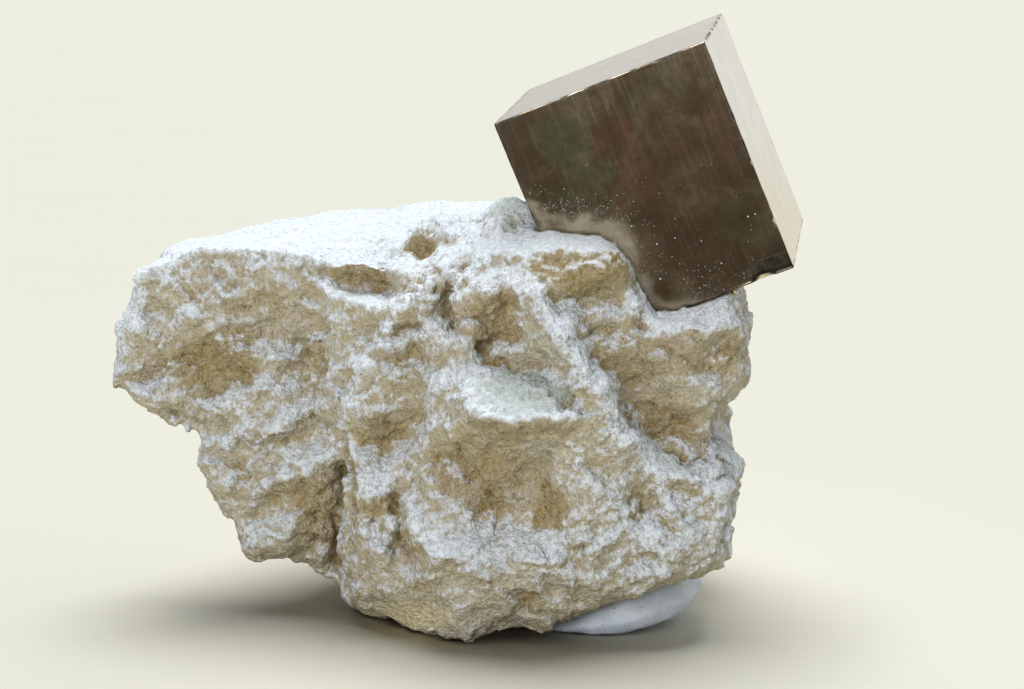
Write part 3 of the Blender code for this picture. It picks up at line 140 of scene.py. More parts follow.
class Finish:
    """A material, with one way to add any node."""

    def __init__(self, name):
        self.material = bpy.data.materials.new(name)
        self.material.use_nodes = True
        self.tree = self.material.node_tree
        self.shader = self.tree.nodes["Principled BSDF"]
        self.place = self.node("ShaderNodeTexCoord", {}, {}, "Object")

    def node(self, kind, settings, sockets, output=0):
        """Adds a node, sets it up, fills its sockets and gives one of its outputs."""
        made = self.tree.nodes.new(kind)
        for name, value in settings.items():
            setattr(made, name, value)
        self.fill(made, sockets)
        return Wire(self, made.outputs[output])

    def fill(self, node, sockets):
        """Links a wire to a socket, or sets the socket to a value."""
        for name, value in sockets.items():
            if isinstance(value, Wire):
                self.tree.links.new(value.socket, node.inputs[name])
            else:
                node.inputs[name].default_value = value

    def mix(self, share, first, second):
        """A colour between two others."""
        colours = [(*c, 1) if isinstance(c, tuple) else c for c in (first, second)]
        return self.node("ShaderNodeMix", {"data_type": "RGBA"}, {0: share, 6: colours[0], 7: colours[1]}, 2)

    def cloud(self, size_mm, detail=2.0, rough=0.5, turn=0.0, kind="FBM"):
        """Noise about 0.5 whose patches are as large as size_mm."""
        sockets = {"Vector": self.place, "Scale": 1 / (size_mm * MM), "Detail": detail}
        sockets.update({"Roughness": rough, "Distortion": turn})
        return self.node("ShaderNodeTexNoise", {"noise_type": kind}, sockets)

    def stretched(self, scale):
        """The object's own place, squeezed or drawn out along its axes."""
        return self.node("ShaderNodeVectorMath", {"operation": "MULTIPLY"}, {0: self.place, 1: scale})

    def value(self, name):
        """A number that the mesh carries at each point."""
        return self.node("ShaderNodeAttribute", {"attribute_name": name}, {}, "Fac")

    def bump(self, height, distance_mm, strength=1.0, under=None):
        """A normal from a height."""
        sockets = {"Height": height, "Distance": distance_mm * MM, "Strength": strength}
        if under is not None:
            sockets["Normal"] = under
        return self.node("ShaderNodeBump", {}, sockets)


# %% [markdown]
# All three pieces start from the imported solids.
# A piece is brought in as a copy in millimetres, welded, and given a fine even skin by a voxel remesh.
# The numbers that a skin carries, such as how far each point stands out of its surroundings, come from averages over neighbours.

# %% Fine skins
def evaluated(obj):
    """A new mesh with the object's modifiers applied."""
    graph = bpy.context.evaluated_depsgraph_get()
    return bpy.data.meshes.new_from_object(obj.evaluated_get(graph))


def fine_skin(node, voxel):
    """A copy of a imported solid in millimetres, with an even skin of small faces."""
    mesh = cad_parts[node].data.copy()
    mesh.transform(Matrix.Scale(1 / MM, 4))
    bm = bmesh.new()
    bm.from_mesh(mesh)
    bmesh.ops.remove_doubles(bm, verts=bm.verts, dist=0.001)
    bm.to_mesh(mesh)
    bm.free()
    mesh.materials.clear()
    maker = bpy.data.objects.new("maker", mesh)
    bpy.context.scene.collection.objects.link(maker)
    remesh = maker.modifiers.new("remesh", "REMESH")
    remesh.mode, remesh.voxel_size = "VOXEL", voxel
    skin = evaluated(maker)
    bpy.data.objects.remove(maker)
    print(node, "has a skin of", len(skin.polygons), "faces")
    return skin


def places_of(mesh):
    """The mesh's points as an array."""
    flat = np.zeros(len(mesh.vertices) * 3, np.float32)
    mesh.vertices.foreach_get("co", flat)
    return flat.reshape(-1, 3).astype(float)


def directions_of(mesh):
    """The way each point of the mesh faces."""
    flat = np.zeros(len(mesh.vertices) * 3, np.float32)
    mesh.vertex_normals.foreach_get("vector", flat)
    return flat.reshape(-1, 3).astype(float)


def move_points(mesh, places):
    mesh.vertices.foreach_set("co", places.astype(np.float32).ravel())
    mesh.update()


class Neighbours:
    """Averages over the points next to each point."""

    def __init__(self, mesh):
        ends = np.zeros(len(mesh.edges) * 2, np.int32)
        mesh.edges.foreach_get("vertices", ends)
        ends = ends.reshape(-1, 2)
        self.into = np.concatenate((ends[:, 0], ends[:, 1]))
        self.source = np.concatenate((ends[:, 1], ends[:, 0]))
        self.total = len(mesh.vertices)
        self.count = np.maximum(np.bincount(self.into, minlength=self.total), 1)

    def mean(self, values, times=1):
        values = values.copy()
        for _ in range(times):
            for column in range(values.shape[1]):
                gathered = np.bincount(self.into, values[self.source, column], self.total)
                values[:, column] = 0.5 * values[:, column] + 0.5 * gathered / self.count
        return values


def soft_step(values, low, high):
    """0 below low, 1 above high, with a soft step between."""
    share = np.clip((values - low) / (high - low), 0, 1)
    return share * share * (3 - 2 * share)


# %% [markdown]
# Broken marl looks as it does because it came apart along many small flat chips.
# Each chip is one cell of a Voronoi pattern with its own height and tilt, and noise roughens it.
# Both come from Blender's own noise library, so the stone is the same each time.

# %% Noise for a broken surface
def cloud_at(points, size, octaves=3, shift=0.0):
    """Smooth noise about 0 at the points, with patches as large as size."""
    rows = (points / size + shift).tolist()
    return np.array([noise.fractal(row, 1.0, 2.0, octaves) for row in rows])


def chips_at(points, size, tilt, step, shift=0.0):
    """Heights of small flat chips about as large as size."""
    found = []
    for row in (points / size + shift).tolist():
        here = Vector(row)
        here += 0.2 * noise.noise_vector(here * 1.3)
        centre = noise.voronoi(here)[1][0]
        own = noise.cell_vector(centre * 37.0) * 2 - Vector((1, 1, 1))
        found.append(step * own.x + tilt * own.dot(here - centre))
    return np.array(found)


def ridges_at(points, size, octaves, shift):
    """Sharp small crests with rounded hollows between them, about 0."""
    rows = (points / size + shift).tolist()
    return np.array([noise.ridged_multi_fractal(row, 0.9, 2.1, octaves, 1.0, 2.0) for row in rows]) - 1.1


BEDDING_TURN = np.array(Euler((math.radians(10), math.radians(-28), 0), "XYZ").to_matrix())


def ledges_at(points, spacing, shift):
    """Thin beds that each stand out further towards their top and end in a small step."""
    bed = (points @ BEDDING_TURN)[:, 2] / spacing + 0.9 * cloud_at(points, spacing * 3, 3, shift)
    rise = bed - np.floor(bed)
    broken = np.clip(0.45 + 1.6 * cloud_at(points, spacing * 2.2, 2, shift + 20), 0, 1)
    return broken * (rise - soft_step(rise, 0.84, 1.0) - 0.42)


# %% [markdown]
# The crystal is almost a cube.
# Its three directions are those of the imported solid, and its middle is the middle of that solid's box.
# Other pieces have to lie on its faces or keep out of it, so its own directions are worked out before the stone.

# %% The crystal's own directions
CRYSTAL_SIZE = Vector((18.67, 19.0, 20.0))
CRYSTAL_TURN = Euler([math.radians(a) for a in (5.45, -21.84, -11.35)], "XYZ")
crystal_turn = np.array(CRYSTAL_TURN.to_matrix())
crystal_half = np.array(CRYSTAL_SIZE) / 2


def in_crystal(points):
    """The points as the crystal sees them: right, back and up from its middle."""
    return (points - np.array(crystal_centre)) @ crystal_turn


def from_crystal(points):
    """Places in the model of points given as the crystal sees them."""
    return np.asarray(points) @ crystal_turn.T + np.array(crystal_centre)


def outside_crystal(points):
    """How far the points lie outside the crystal, less than 0 inside."""
    beyond = np.abs(in_crystal(points)) - crystal_half
    outer = np.linalg.norm(np.maximum(beyond, 0), axis=1)
    return outer + np.minimum(beyond.max(axis=1), 0)


# %% [markdown]
# The marks of the stone are named one by one: pits, cracks, crests, powdered patches and brown patches that are partly
# real stain and partly painted shade.
# Each is a line or a spot in the picture's millimetres, with a width and a depth.
# They act only on skin that faces the camera, because that is all the picture tells about.

# %% Marks on the marl
CRACKS = {
    "left_of_buttress": (0.55, 0.45, 0.8, [(-12, 24), (-11.7, 22.8), (-12, 21.5)]),
    "behind_left_facet": (0.8, 0.6, 1.0, [(-9.3, 14.5), (-9.0, 12.5), (-9.6, 10), (-10.2, 8), (-10.3, 6)]),
    "behind_shelf": (0.6, 0.4, 1.0, [(1.3, 25), (3, 23), (6.2, 21.3), (9.3, 20)]),
    "beside_rib": (0.4, 0.5, 0.0, [(-1, 28), (-0.4, 26)]),
    "upper_right_one": (0.4, 0.2, 0.6, [(15.5, 24.4), (17.6, 23.9)]),
    "upper_right_two": (0.4, 0.22, 0.6, [(18.3, 24), (19.4, 23.1)]),
    "under_mound": (0.3, 0.25, 0.5, [(8, 28.6), (10, 28.4), (12.5, 28.8)]),
    "under_mound_two": (0.35, 0.22, 0.5, [(10.5, 25.7), (12.3, 25.7)]),
    "right_slit": (1.1, 0.45, 1.2, [(17.6, 15.5), (19, 15.0), (20.4, 15.2)]),
    "low_crack": (0.35, 0.18, 0.5, [(9.3, 5), (9.3, 4.2), (9.6, 3)]),
    "low_slit": (0.5, 0.22, 1.0, [(9.6, 8.1), (10.8, 8)]),
    "right_low_slit": (0.4, 0.2, 0.8, [(17, 9.4), (18.4, 9.2)]),
    "right_low_crack": (0.3, 0.2, 0.5, [(21.3, 6.8), (19, 6.1)]),
    "tail_of_brown_pit": (0.4, 0.35, 0.8, [(14.8, 12), (14.7, 10)]),
    "under_first_ledge": (0.5, 0.4, 0.8, [(-6.9, 23.2), (-5.2, 23.6), (-3.4, 24.5)]),
    "under_second_ledge": (0.4, 0.3, 0.6, [(-5.4, 25.4), (-3.2, 26.2)]),
}
PITS = {
    "rib_pit": (0.7, 0.7, 1.0, (-1, 29)),
    "rib_pit_above": (0.6, 0.6, 1.0, (0.3, 31)),
    "wing_hollow": (0.8, 1.3, 1.0, (-21.2, 22.4)),
    "wing_hollow_low": (0.7, 1.1, 1.0, (-19.7, 21.2)),
    "shell_pit": (0.8, 0.75, 0.9, (-17, 17)),
    "left_pit": (0.6, 0.9, 0.8, (-18.3, 14.4)),
    "left_pit_two": (0.6, 0.9, 0.8, (-13.2, 12)),
    "left_pit_three": (0.6, 0.8, 0.8, (-15.8, 11.6)),
    "dark_spot": (0.5, 0.5, 1.0, (9.9, 25.2)),
    "grey_pit": (0.6, 1.2, 0.0, (7.7, 4.3)),
    "grey_pit_right": (0.45, 0.9, 0.0, (20, 9.9)),
    "brown_pit": (0.6, 0.8, 1.0, (14.8, 12)),
    "old_socket": (2.4, 0.5, 0.5, (4.3, 34.5)),
    "top_pit": (3.2, 0.9, 1.0, (-3.4, 32.5)),
}
CRESTS = {
    "top_rim": (0.1, 0.6, 0.7, [(-25.8, 31.3), (-18, 31.4), (-10, 31.5), (-5.2, 31.3)]),
    "buttress": (0.35, 0.7, 0.5, [(-9.2, 18), (-8.6, 22.7), (-6.3, 24.8), (-5, 27.4), (-3.8, 28)]),
    "first_ledge": (0.4, 0.5, 0.6, [(-6.8, 24.1), (-4.8, 24.5), (-3, 25.6)]),
    "second_ledge": (0.35, 0.45, 0.6, [(-5.3, 26), (-3, 27)]),
    "wing_v": (0.3, 0.4, 1.0, [(-20.1, 24.8), (-19.2, 23.7), (-18.3, 24.9)]),
    "left_rib_one": (0.3, 0.5, 0.8, [(-21, 16.2), (-18, 17.3)]),
    "left_rib_two": (0.3, 0.5, 0.7, [(-15.8, 17.5), (-13, 19)]),
    "left_band": (0.3, 0.7, 0.8, [(-17, 12.2), (-14, 14.1), (-11, 15.7), (-9.5, 16.5)]),
    "shell": (0.25, 0.35, 1.2, [(-17.9, 17.3), (-17.5, 16.3), (-16.6, 16.1), (-16.0, 16.8)]),
    "rib_edge": (0.55, 0.6, 0.2, [(0.5, 32.5), (-2.8, 29.8), (-2.6, 25), (-1.7, 22), (-2.2, 17.8)]),
    "ridge": (0.25, 1.1, 1.0, [(5, 29.5), (8, 26.4), (9.9, 23.8), (10.4, 22.3), (12.2, 21.6), (12.8, 20.3)]),
    "ridge_low": (0.2, 1.2, 1.0, [(13, 18.8), (14.5, 16.7), (16, 15.1), (19, 14.2), (22.3, 15.0)]),
    "edge_line": (0.2, 0.25, 1.0, [(9.6, 16.5), (10, 15.5), (9.7, 14.5)]),
    "end_lump_rim": (0.25, 0.45, 0.8, [(21.0, 22.6), (21.6, 25.6), (23.2, 26.5), (24.1, 25.2)]),
    "socket_rim": (0.5, 0.25, 0.4, [(3.4, 34.2), (3.7, 35.1), (4.6, 35.2), (5.2, 34.6)]),
    "block_edge": (0.5, 0.35, 0.5, [(-4.4, 33.3), (-2.4, 33.6), (-0.6, 34.4), (1.0, 35.0)]),
    "left_end": (0.0, 0.6, 1.3, [(-26.2, 31.2), (-27.2, 27.5), (-28.4, 24.5)]),
    "grey_pit_rim": (0.15, 0.3, 1.0, [(6.5, 5.0), (7.6, 5.8), (8.9, 5.2), (9.2, 4.0)]),
    "low_band": (0.12, 1.0, 0.9, [(4, 7.6), (9, 8.6), (14, 7.8), (18, 8.4)]),
}
# Brown patches: partly real stain, partly painted shade in hollows, under overhangs and on shaded facets.
STAINS_AND_SHADE = {
    "wing": (-20.8, 23.2, 4.6, 2.8, 0.9), "rim_recess": (-8.2, 30.2, 3.2, 1.0, 1.0),
    "top_pit": (-3.3, 32.6, 1.5, 1.1, 0.9), "under_mound": (10.2, 30.9, 5.2, 2.1, 1.0),
    "beside_rib": (2.5, 27, 2.6, 3, 0.8), "right_hollow": (17, 18.2, 4.0, 2.6, 0.8),
    "upper_right": (15.5, 23.8, 5.5, 2.8, 0.6), "left_of_core": (-6.5, 17.3, 2.4, 2, 0.8),
    "left_facet": (-11.8, 11, 2.2, 3.4, 0.7), "undercut": (-6.4, 11.4, 2.2, 1.2, 0.9),
    "low_hollow": (-4.2, 8.2, 0.9, 1.5, 0.9), "core": (2.6, 13, 1.2, 3.4, 1.0),
    "lower_centre": (1.5, 14.5, 4.6, 3.4, 0.7), "centre_right": (7.6, 11.2, 1.5, 2.6, 1.0), "low_v": (5.8, 3.3, 1.0, 1.0, 0.8),
    "behind_socket": (5.6, 35.4, 0.8, 0.7, 0.6), "residue": (22.0, 28.2, 1.1, 0.5, 0.6),
    "ribs": (-2.4, 27.5, 3.2, 4.6, 0.4), "lower_ribs": (-5.5, 20.0, 3.0, 4.0, 0.3), "far_right": (20.5, 24.5, 3.2, 3.0, 0.4),
    "wing_top": (-19, 28.8, 6.0, 1.6, 0.4), "left_slope": (-15.5, 13.2, 3.6, 1.4, 0.4),
    "end_lump": (22.7, 24.2, 1.2, 1.6, 0.8), "shelf_front": (5.2, 17.6, 5.2, 0.8, 0.7),
}
POWDERS = {
    "wing_patch": (-23.2, 26.8, 1.3, 0.6, 1.0), "lump_one": (-21, 19.2, 1.1, 0.9, 1.0),
    "lump_two": (-18.8, 19.8, 1.3, 1.0, 1.0), "lump_three": (-13.2, 24.6, 0.8, 0.9, 0.8),
    "low_left": (-17, 8.8, 1.0, 0.6, 0.8), "low_left_two": (-15.5, 8.5, 0.9, 0.6, 0.8),
    "block": (-7.2, 13.5, 1.9, 1.5, 0.8), "block_low": (-6.5, 9, 2.2, 1.0, 0.8),
    "lower_right": (16.5, 9.6, 7.5, 5.6, 0.6), "middle": (0.5, 7.6, 4.2, 1.9, 0.6),
    "small_shell": (7.5, 7.2, 0.8, 0.9, 1.0), "wing_film": (-22, 28.2, 3.5, 1.6, 0.2), "white_block": (15.3, 5.6, 1.3, 0.7, 0.8),
    "pale_lump": (14.7, 27.8, 1.5, 0.9, 0.8), "mound_top": (9.5, 33.8, 4.6, 1.0, 1.0),
    "under_crystal": (16.8, 26.9, 3.4, 0.9, 0.8), "beside_pits": (-1, 26.5, 1.2, 2.2, 0.2),
}
GREENS = {
    "shelf": (5.3, 20.6, 5.0, 2.0, 1.0), "bright_shelf": (-8.6, 28.9, 2.0, 0.9, 0.6),
    "top_lump": (3.8, 36, 1.8, 1.3, 1.0), "top_block": (-1.4, 33.9, 2.4, 0.8, 0.5),
    "residue": (22.2, 28.4, 1.0, 0.6, 0.8), "socket_lump": (4.4, 34.6, 1.6, 1.0, 0.7), "low_green": (8, 23.6, 1.6, 1.4, 0.6),
}
SWELLS = {
    "shelf_end": (7.2, 21.0, 2.8, 1.2, 0.9), "shelf_middle": (4.0, 22.0, 2.2, 1.2, 0.3),
    "right_hollow": (17, 18.0, 4.2, 2.6, 0.6), "left_groove": (-10.6, 10, 1.4, 4.0, 0.5),
    "low_hollow": (-4.4, 9.5, 1.4, 2.6, 0.6), "beside_rib": (0.8, 26.0, 1.4, 2.2, 0.3),
    "left_of_core": (-6.5, 17.3, 2.4, 2.0, 0.6), "mound_face": (10, 30, 5.0, 2.0, 0.3),
    "top_block": (-1.4, 33.7, 2.6, 0.8, 0.9), "block_beside_rib": (2.2, 27.6, 2.0, 2.6, 0.4),
    "rib_side": (-1.0, 29.0, 1.0, 1.4, 0.4), "left_edge": (-27.4, 28.0, 1.8, 4.0, 0.7),
    "right_notch": (22.6, 17.9, 1.8, 2.2, -1.0), "right_lump": (23.2, 14.0, 1.2, 1.2, 0.4),
}
print(len(CRACKS) + len(PITS) + len(CRESTS) + len(SWELLS), "cut or raised marks")

# %% [markdown]
# A mark weighs most on its line and fades to nothing at about twice its width.

# %% Weights of marks
def beside_line(across, up, line):
    """Distance from each place in the picture to a line through the given places."""
    best = np.full(len(across), 1e9)
    for (ax, ay), (bx, by) in zip(line, line[1:]):
        along = (across - ax) * (bx - ax) + (up - ay) * (by - ay)
        share = np.clip(along / ((bx - ax) ** 2 + (by - ay) ** 2), 0, 1)
        best = np.minimum(best, np.hypot(across - ax - share * (bx - ax), up - ay - share * (by - ay)))
    return best


def over_line(across, up, line, width):
    return np.exp(-((beside_line(across, up, line) / width) ** 2))


def over_spot(across, up, spot):
    """Weight of an oval patch: its middle, half width, half height and strength."""
    x, y, wide, high, strength = spot
    return strength * (1 - soft_step(np.hypot((across - x) / wide, (up - y) / high), 0.55, 1.25))


# %% [markdown]
# Now the marl itself.
# The skin is softened once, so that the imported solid's flat facets go, and broken up again by chips at three sizes and by bedding.
# The flat top and the lower lip of the real stone are smoother, so they get less.
# Near the crystal the relief fades out, so that no chip grows into it.

# %% Shape the marl
MARL_VOXEL = 0.2
MARL_FACES = 196000
marl_low, marl_high = (np.array(c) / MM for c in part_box("marl_matrix"))
marl_mesh = fine_skin("marl_matrix", MARL_VOXEL)
near = Neighbours(marl_mesh)
skin = near.mean(places_of(marl_mesh), 6)
move_points(marl_mesh, skin)
facing = directions_of(marl_mesh)
across, up = picture_place(skin)
to_camera = np.array(camera_place) - skin
to_camera /= np.linalg.norm(to_camera, axis=1)[:, None]
towards_camera = (facing * to_camera).sum(1)
seen = soft_step(towards_camera, 0.0, 0.3)
seen_or_edge = soft_step(towards_camera, -0.5, 0.1)

smooth_top = soft_step(facing[:, 2], 0.75, 0.95) * soft_step(skin[:, 2], 29, 31)
lip = over_spot(across, up, (-5, 1.8, 4.6, 1.3, 1.0)) * seen
shelf = over_spot(across, up, (5.3, 20.6, 5.0, 2.0, 1.0)) * seen
calm = 1 - 0.8 * np.maximum.reduce([0.8 * smooth_top, lip, 0.8 * shelf])
clearance = soft_step(outside_crystal(skin), 0.1, 0.8)
broad_facing = near.mean(facing, 60)
broad_facing /= np.linalg.norm(broad_facing, axis=1)[:, None]

height = chips_at(skin, 4.2, 0.42, 0.08)
height += chips_at(skin, 1.9, 0.22, 0.05, 5.0)
height += chips_at(skin, 0.8, 0.14, 0.03, 9.0)
height += 0.24 * ledges_at(skin, 2.4, 3.0) + 0.10 * ledges_at(skin, 0.9, 6.0)
drawn_out = (skin @ BEDDING_TURN) * np.array((0.55, 0.55, 1.0))
crests = ridges_at(drawn_out, 1.5, 4, 7.0)
height += 0.08 * crests
print("ridges from", round(crests.min(), 2), "to", round(crests.max(), 2), "mean", round(crests.mean(), 2))
height *= calm
print("relief in mm from", round(height.min(), 2), "to", round(height.max(), 2))

# %% Cut and raise the named marks
stain_and_shade = np.zeros(len(skin))
powder = np.zeros(len(skin))
green = np.zeros(len(skin))
marks = np.zeros(len(skin))
wobble = 0.8 * cloud_at(skin, 1.6, 3, 11.0)
wobble_up = 0.8 * cloud_at(skin, 1.6, 3, 13.0)
# Cracks and pits are browned as well: partly stain, partly painted shade in the crease.
for depth, width, brown, line in CRACKS.values():
    weight = over_line(across + wobble, up + wobble_up, line, width) * seen
    marks -= 0.75 * depth * weight
    stain_and_shade = np.maximum(stain_and_shade, 0.7 * brown * weight)
for depth, width, brown, (x, y) in PITS.values():
    weight = np.exp(-((np.hypot(across + wobble - x, up + wobble_up - y) / width) ** 2)) * seen
    marks -= 0.25 * depth * weight
    stain_and_shade = np.maximum(stain_and_shade, 0.5 * brown * weight)
for rise, width, white, line in CRESTS.values():
    weight = over_line(across + wobble, up + wobble_up, line, width) * seen
    marks += 1.0 * rise * weight
    powder = np.maximum(powder, white * weight)
for spots, tint in ((STAINS_AND_SHADE, stain_and_shade), (POWDERS, powder), (GREENS, green)):
    for spot in spots.values():
        np.maximum(tint, over_spot(across + wobble, up + wobble_up, spot) * seen, out=tint)
for swell in SWELLS.values():
    marks += over_spot(across + wobble, up + wobble_up, swell) * seen_or_edge
skin = skin + (facing * height[:, None] + broad_facing * marks[:, None]) * clearance[:, None]
softened = near.mean(skin, 3)
skin = softened + (skin - softened) * seen_or_edge[:, None]
skin = np.clip(skin, marl_low + 0.01, marl_high - 0.01)
skin[:, 2] = np.maximum(skin[:, 2], 0.04)
move_points(marl_mesh, skin)

# %% What the marl's skin carries for its finish
facing = directions_of(marl_mesh)
smooth = near.mean(skin, 16)
fine_rise = ((skin - smooth) * facing).sum(1)
broad_rise = ((skin - near.mean(smooth, 170)) * facing).sum(1)
carried = {"lip": lip, "stain_and_shade": stain_and_shade, "powder": powder, "green": green, "upward": facing[:, 2]}
carried.update({"crest": np.clip(0.5 + fine_rise / 0.12, 0, 1), "swell": np.clip(0.5 + broad_rise / 1.4, 0, 1)})
carried["contact"] = 1 - soft_step(outside_crystal(skin), 0.3, 1.6)
for name, values in carried.items():
    layer = marl_mesh.attributes.new(name, "FLOAT", "POINT")
    layer.data.foreach_set("value", values.astype(np.float32))
print({name: round(float(v.mean()), 2) for name, v in carried.items()})
thinned = 1 - 0.75 * seen_or_edge


# %% [markdown]
# A finished piece goes back to metres, loses the faces that its budget has no room for, and rides on the model.

# %% Hand a piece to the model
HAIR = 0.002


def hand_over(mesh, name, finish, slot, *nodes, faces=None, weights=None):
    """Makes the piece, in metres, with its finish and the solids that it stands for; its slot is not used."""
    mesh.transform(Matrix.Scale(MM, 4))
    mesh.materials.clear()
    mesh.materials.append(finish.material)
    piece = bpy.data.objects.new(name, mesh)
    bpy.context.scene.collection.objects.link(piece)
    triangles = sum(len(p.vertices) - 2 for p in mesh.polygons)
    if faces and triangles > faces:
        thin = piece.modifiers.new("thin", "DECIMATE")
        thin.ratio = faces / triangles
        group = piece.vertex_groups.new(name="thinned")
        for step in range(11):
            rows = np.flatnonzero(np.round(weights * 10) == step)
            group.add(rows.tolist(), step / 10, "REPLACE")
        thin.vertex_group, thin.vertex_group_factor = "thinned", 1.0
        piece.data = evaluated(piece)
        piece.modifiers.clear()
        piece.vertex_groups.clear()
    if nodes:
        low, high = (np.array(corner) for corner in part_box(nodes[0]))
        move_points(piece.data, np.clip(places_of(piece.data), low + HAIR * MM, high - HAIR * MM))
    piece.data.shade_smooth()
    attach(piece, "root")
    if nodes:
        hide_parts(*nodes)
    print(name, "has", sum(len(p.vertices) - 2 for p in piece.data.polygons), "triangles")
    return piece


# %% [markdown]
# The marl's colour is a tan clay that is brown in hollows and under overhangs, partly real stain and partly painted
# shade, and bluish white where it is powdered, on crests and where it faces up, partly real powder and partly painted
# highlight of the cool light from above.
# The white lies on crests and on everything that faces up, so the mesh's own numbers steer it, and noise breaks its
# edge.
# Fine pits in the grain are darkened as painted shade, and the lower lip is painted pale yellow as painted bounce light
# from the floor.
# Tiny calcite grains glint, which here is a lower roughness in scattered cells.

# %% Finish of the marl
marl = Finish("marl_finish")
grain = marl.cloud(0.16, 3.0, 0.7)
crumbs = marl.cloud(0.5, 4.0, 0.7)
speckle = marl.cloud(1.4, 5.0, 0.65, 0.3)
broad = marl.cloud(4.0, 4.0, 0.6, 0.4)
grains = {"Vector": marl.place, "Scale": 1 / (0.34 * MM), "Detail": 1.0, "Roughness": 0.5}
grain_edges = marl.node("ShaderNodeTexVoronoi", {}, grains)
grain_tones = marl.node("ShaderNodeTexVoronoi", {}, grains, "Color")
clay = marl.mix(speckle.clear(0.3, 0.7), (0.47, 0.395, 0.235), (0.62, 0.555, 0.40))
clay = marl.mix(broad.clear(0.4, 0.7) * 0.55, clay, (0.60, 0.53, 0.455))
# Browner in broad hollows: partly stain, partly painted shade.
hollow_stain_and_shade = 1 - marl.value("swell").clear(0.1, 0.55)
brown_share = marl.value("stain_and_shade") * 1.0 + hollow_stain_and_shade * 0.5 + (speckle - 0.5) * 1.2 + (crumbs - 0.5) * 0.6
brown_share = brown_share.clear(0.05, 1.15)
brown = marl.mix(crumbs.clear(0.3, 0.7), (0.30, 0.205, 0.07), (0.43, 0.33, 0.145))
clay = marl.mix(brown_share, clay, brown)
powder_share = marl.value("powder") * (crumbs.clear(0.36, 0.62) * 0.8 + speckle.clear(0.3, 0.6) * 0.4)
# Whiter and bluish on crests, broad swells and what faces up: partly powder, partly painted highlight of the cool light
# from above.
powder_and_highlight_share = marl.value("upward") * 1.3 + powder_share + (marl.value("crest") - 0.5) * 0.6
powder_and_highlight_share = powder_and_highlight_share + (speckle - 0.5) * 0.5 + (crumbs - 0.5) * 0.8 + (grain - 0.5) * 0.9 + (grain_tones - 0.5) * 0.5
powder_and_highlight_share = (powder_and_highlight_share + (marl.value("swell") - 0.5) * 0.6 - marl.value("stain_and_shade") * 1.0).clear(-0.25, 1.4)
white = marl.mix(crumbs.clear(0.35, 0.65), (0.73, 0.79, 0.86), (0.87, 0.92, 0.965))
clay = marl.mix(powder_and_highlight_share.clear(0.05, 0.6) * 0.8, clay, (0.59, 0.56, 0.55))
colour = marl.mix(powder_and_highlight_share, clay, white)
colour = marl.mix(grain_tones.clear(0.58, 0.72) * 0.12, colour, (0.93, 0.92, 0.89))
# The lower lip is painted pale yellow: painted bounce light from the floor.
colour = marl.mix(marl.value("lip") * 0.85, colour, marl.mix(crumbs.clear(0.3, 0.7), (0.80, 0.695, 0.41), (0.92, 0.82, 0.55)))
green_share = (marl.value("green") + (speckle - 0.5) * 0.8).clear(0.3, 1.0) * 0.75
colour = marl.mix(green_share, colour, marl.mix(crumbs.clear(0.3, 0.7), (0.50, 0.56, 0.51), (0.63, 0.69, 0.68)))
# Low spots of the grain are darkened towards deep brown, less on what faces up: painted shade.
cavity = crumbs * 0.55 + grain * 0.45
relief = crumbs * 0.5 + grain * 0.18 - grain_edges * 0.28
pit_shade_share = (1 - cavity.clear(0.38, 0.56)) * (0.7 - marl.value("upward").clear(0.5, 1.0) * 0.45)
colour = marl.mix(pit_shade_share, colour, marl.mix(0.55, colour, (0.12, 0.085, 0.035)))
glint = marl.cloud(0.14, 0.0).clear(0.66, 0.74)
marl_normal = marl.bump(relief, 0.6, 1.0)
marl.fill(marl.shader, {"Base Color": colour, "Roughness": 0.9 - glint * 0.5, "Normal": marl_normal})
marl_piece = hand_over(marl_mesh, "marl", marl, "marl", "marl_matrix", faces=MARL_FACES, weights=thinned)

# %% [markdown]
# The crystal is a block of six fine grids, so that small chips along its edges can be cut as real shape.
# A chip is a small plane that shaves an edge: points beyond it are pressed back onto it.
# The lower right corner is rougher, with steps that run along the lower edge.

# %% Shape the crystal
EDGE_ROUND = 0.05
GRID_STEPS = 88
CHIPS = {
    "top_edge": ((-2.8, -9.5, 10.0), (0.3, -1, 1), 0.07, 0.3),
    "top_left_corner": ((-9.33, -9.5, 10.0), (-1, -1, 1), 0.10, 0.3),
    "right_edge_high": ((9.33, -9.5, 1.0), (1, -1, 0.3), 0.10, 0.4),
    "right_edge_middle": ((9.33, -9.5, -0.6), (1, -1, -0.2), 0.12, 0.4),
    "right_edge_low": ((9.33, -9.5, -5.8), (1, -1, 0.2), 0.14, 0.5),
    "corner": ((9.33, -9.5, -10.0), (1, -1, -1), 0.12, 0.4),
    "lower_edge": ((6.8, -9.5, -10.0), (0, -1, -1), 0.25, 1.2),
    "top_edge_right": ((5.2, -9.5, 10.0), (0, -1, 1), 0.08, 0.5),
    "back_corner": ((9.33, 9.5, 10.0), (1, 1, 1), 0.25, 0.7),
}


CONTACT_LINE = [(5.6, 36.3), (7.2, 35.1), (10, 34.7), (12.6, 34.0), (13.9, 32.6), (14.4, 30.8), (15.4, 29.2), (16.6, 28.1)]
RED_PATCHES = [(12.6, 42.3, 2.6, 2.2, 1.0), (14.5, 39, 2.4, 3.2, 0.8), (20.5, 42.5, 3.0, 4.4, 0.6), (18.6, 35.6, 2.4, 2.0, 0.6)]
OLIVE_PATCHES = [(8.6, 40.5, 2.6, 3.4, 1.0), (10.5, 37.3, 3.6, 1.8, 0.8), (24.3, 34.5, 2.4, 3.4, 0.7), (15.5, 46, 4.5, 1.2, 0.6)]


def grid_places(half):
    """Places along one side of a face, closer together at both ends."""
    middle = np.linspace(-half + 0.25, half - 0.25, GRID_STEPS)
    ends = np.array((0.0, 0.04, 0.09, 0.16))
    return np.concatenate((-half + ends, middle, (half - ends)[::-1]))


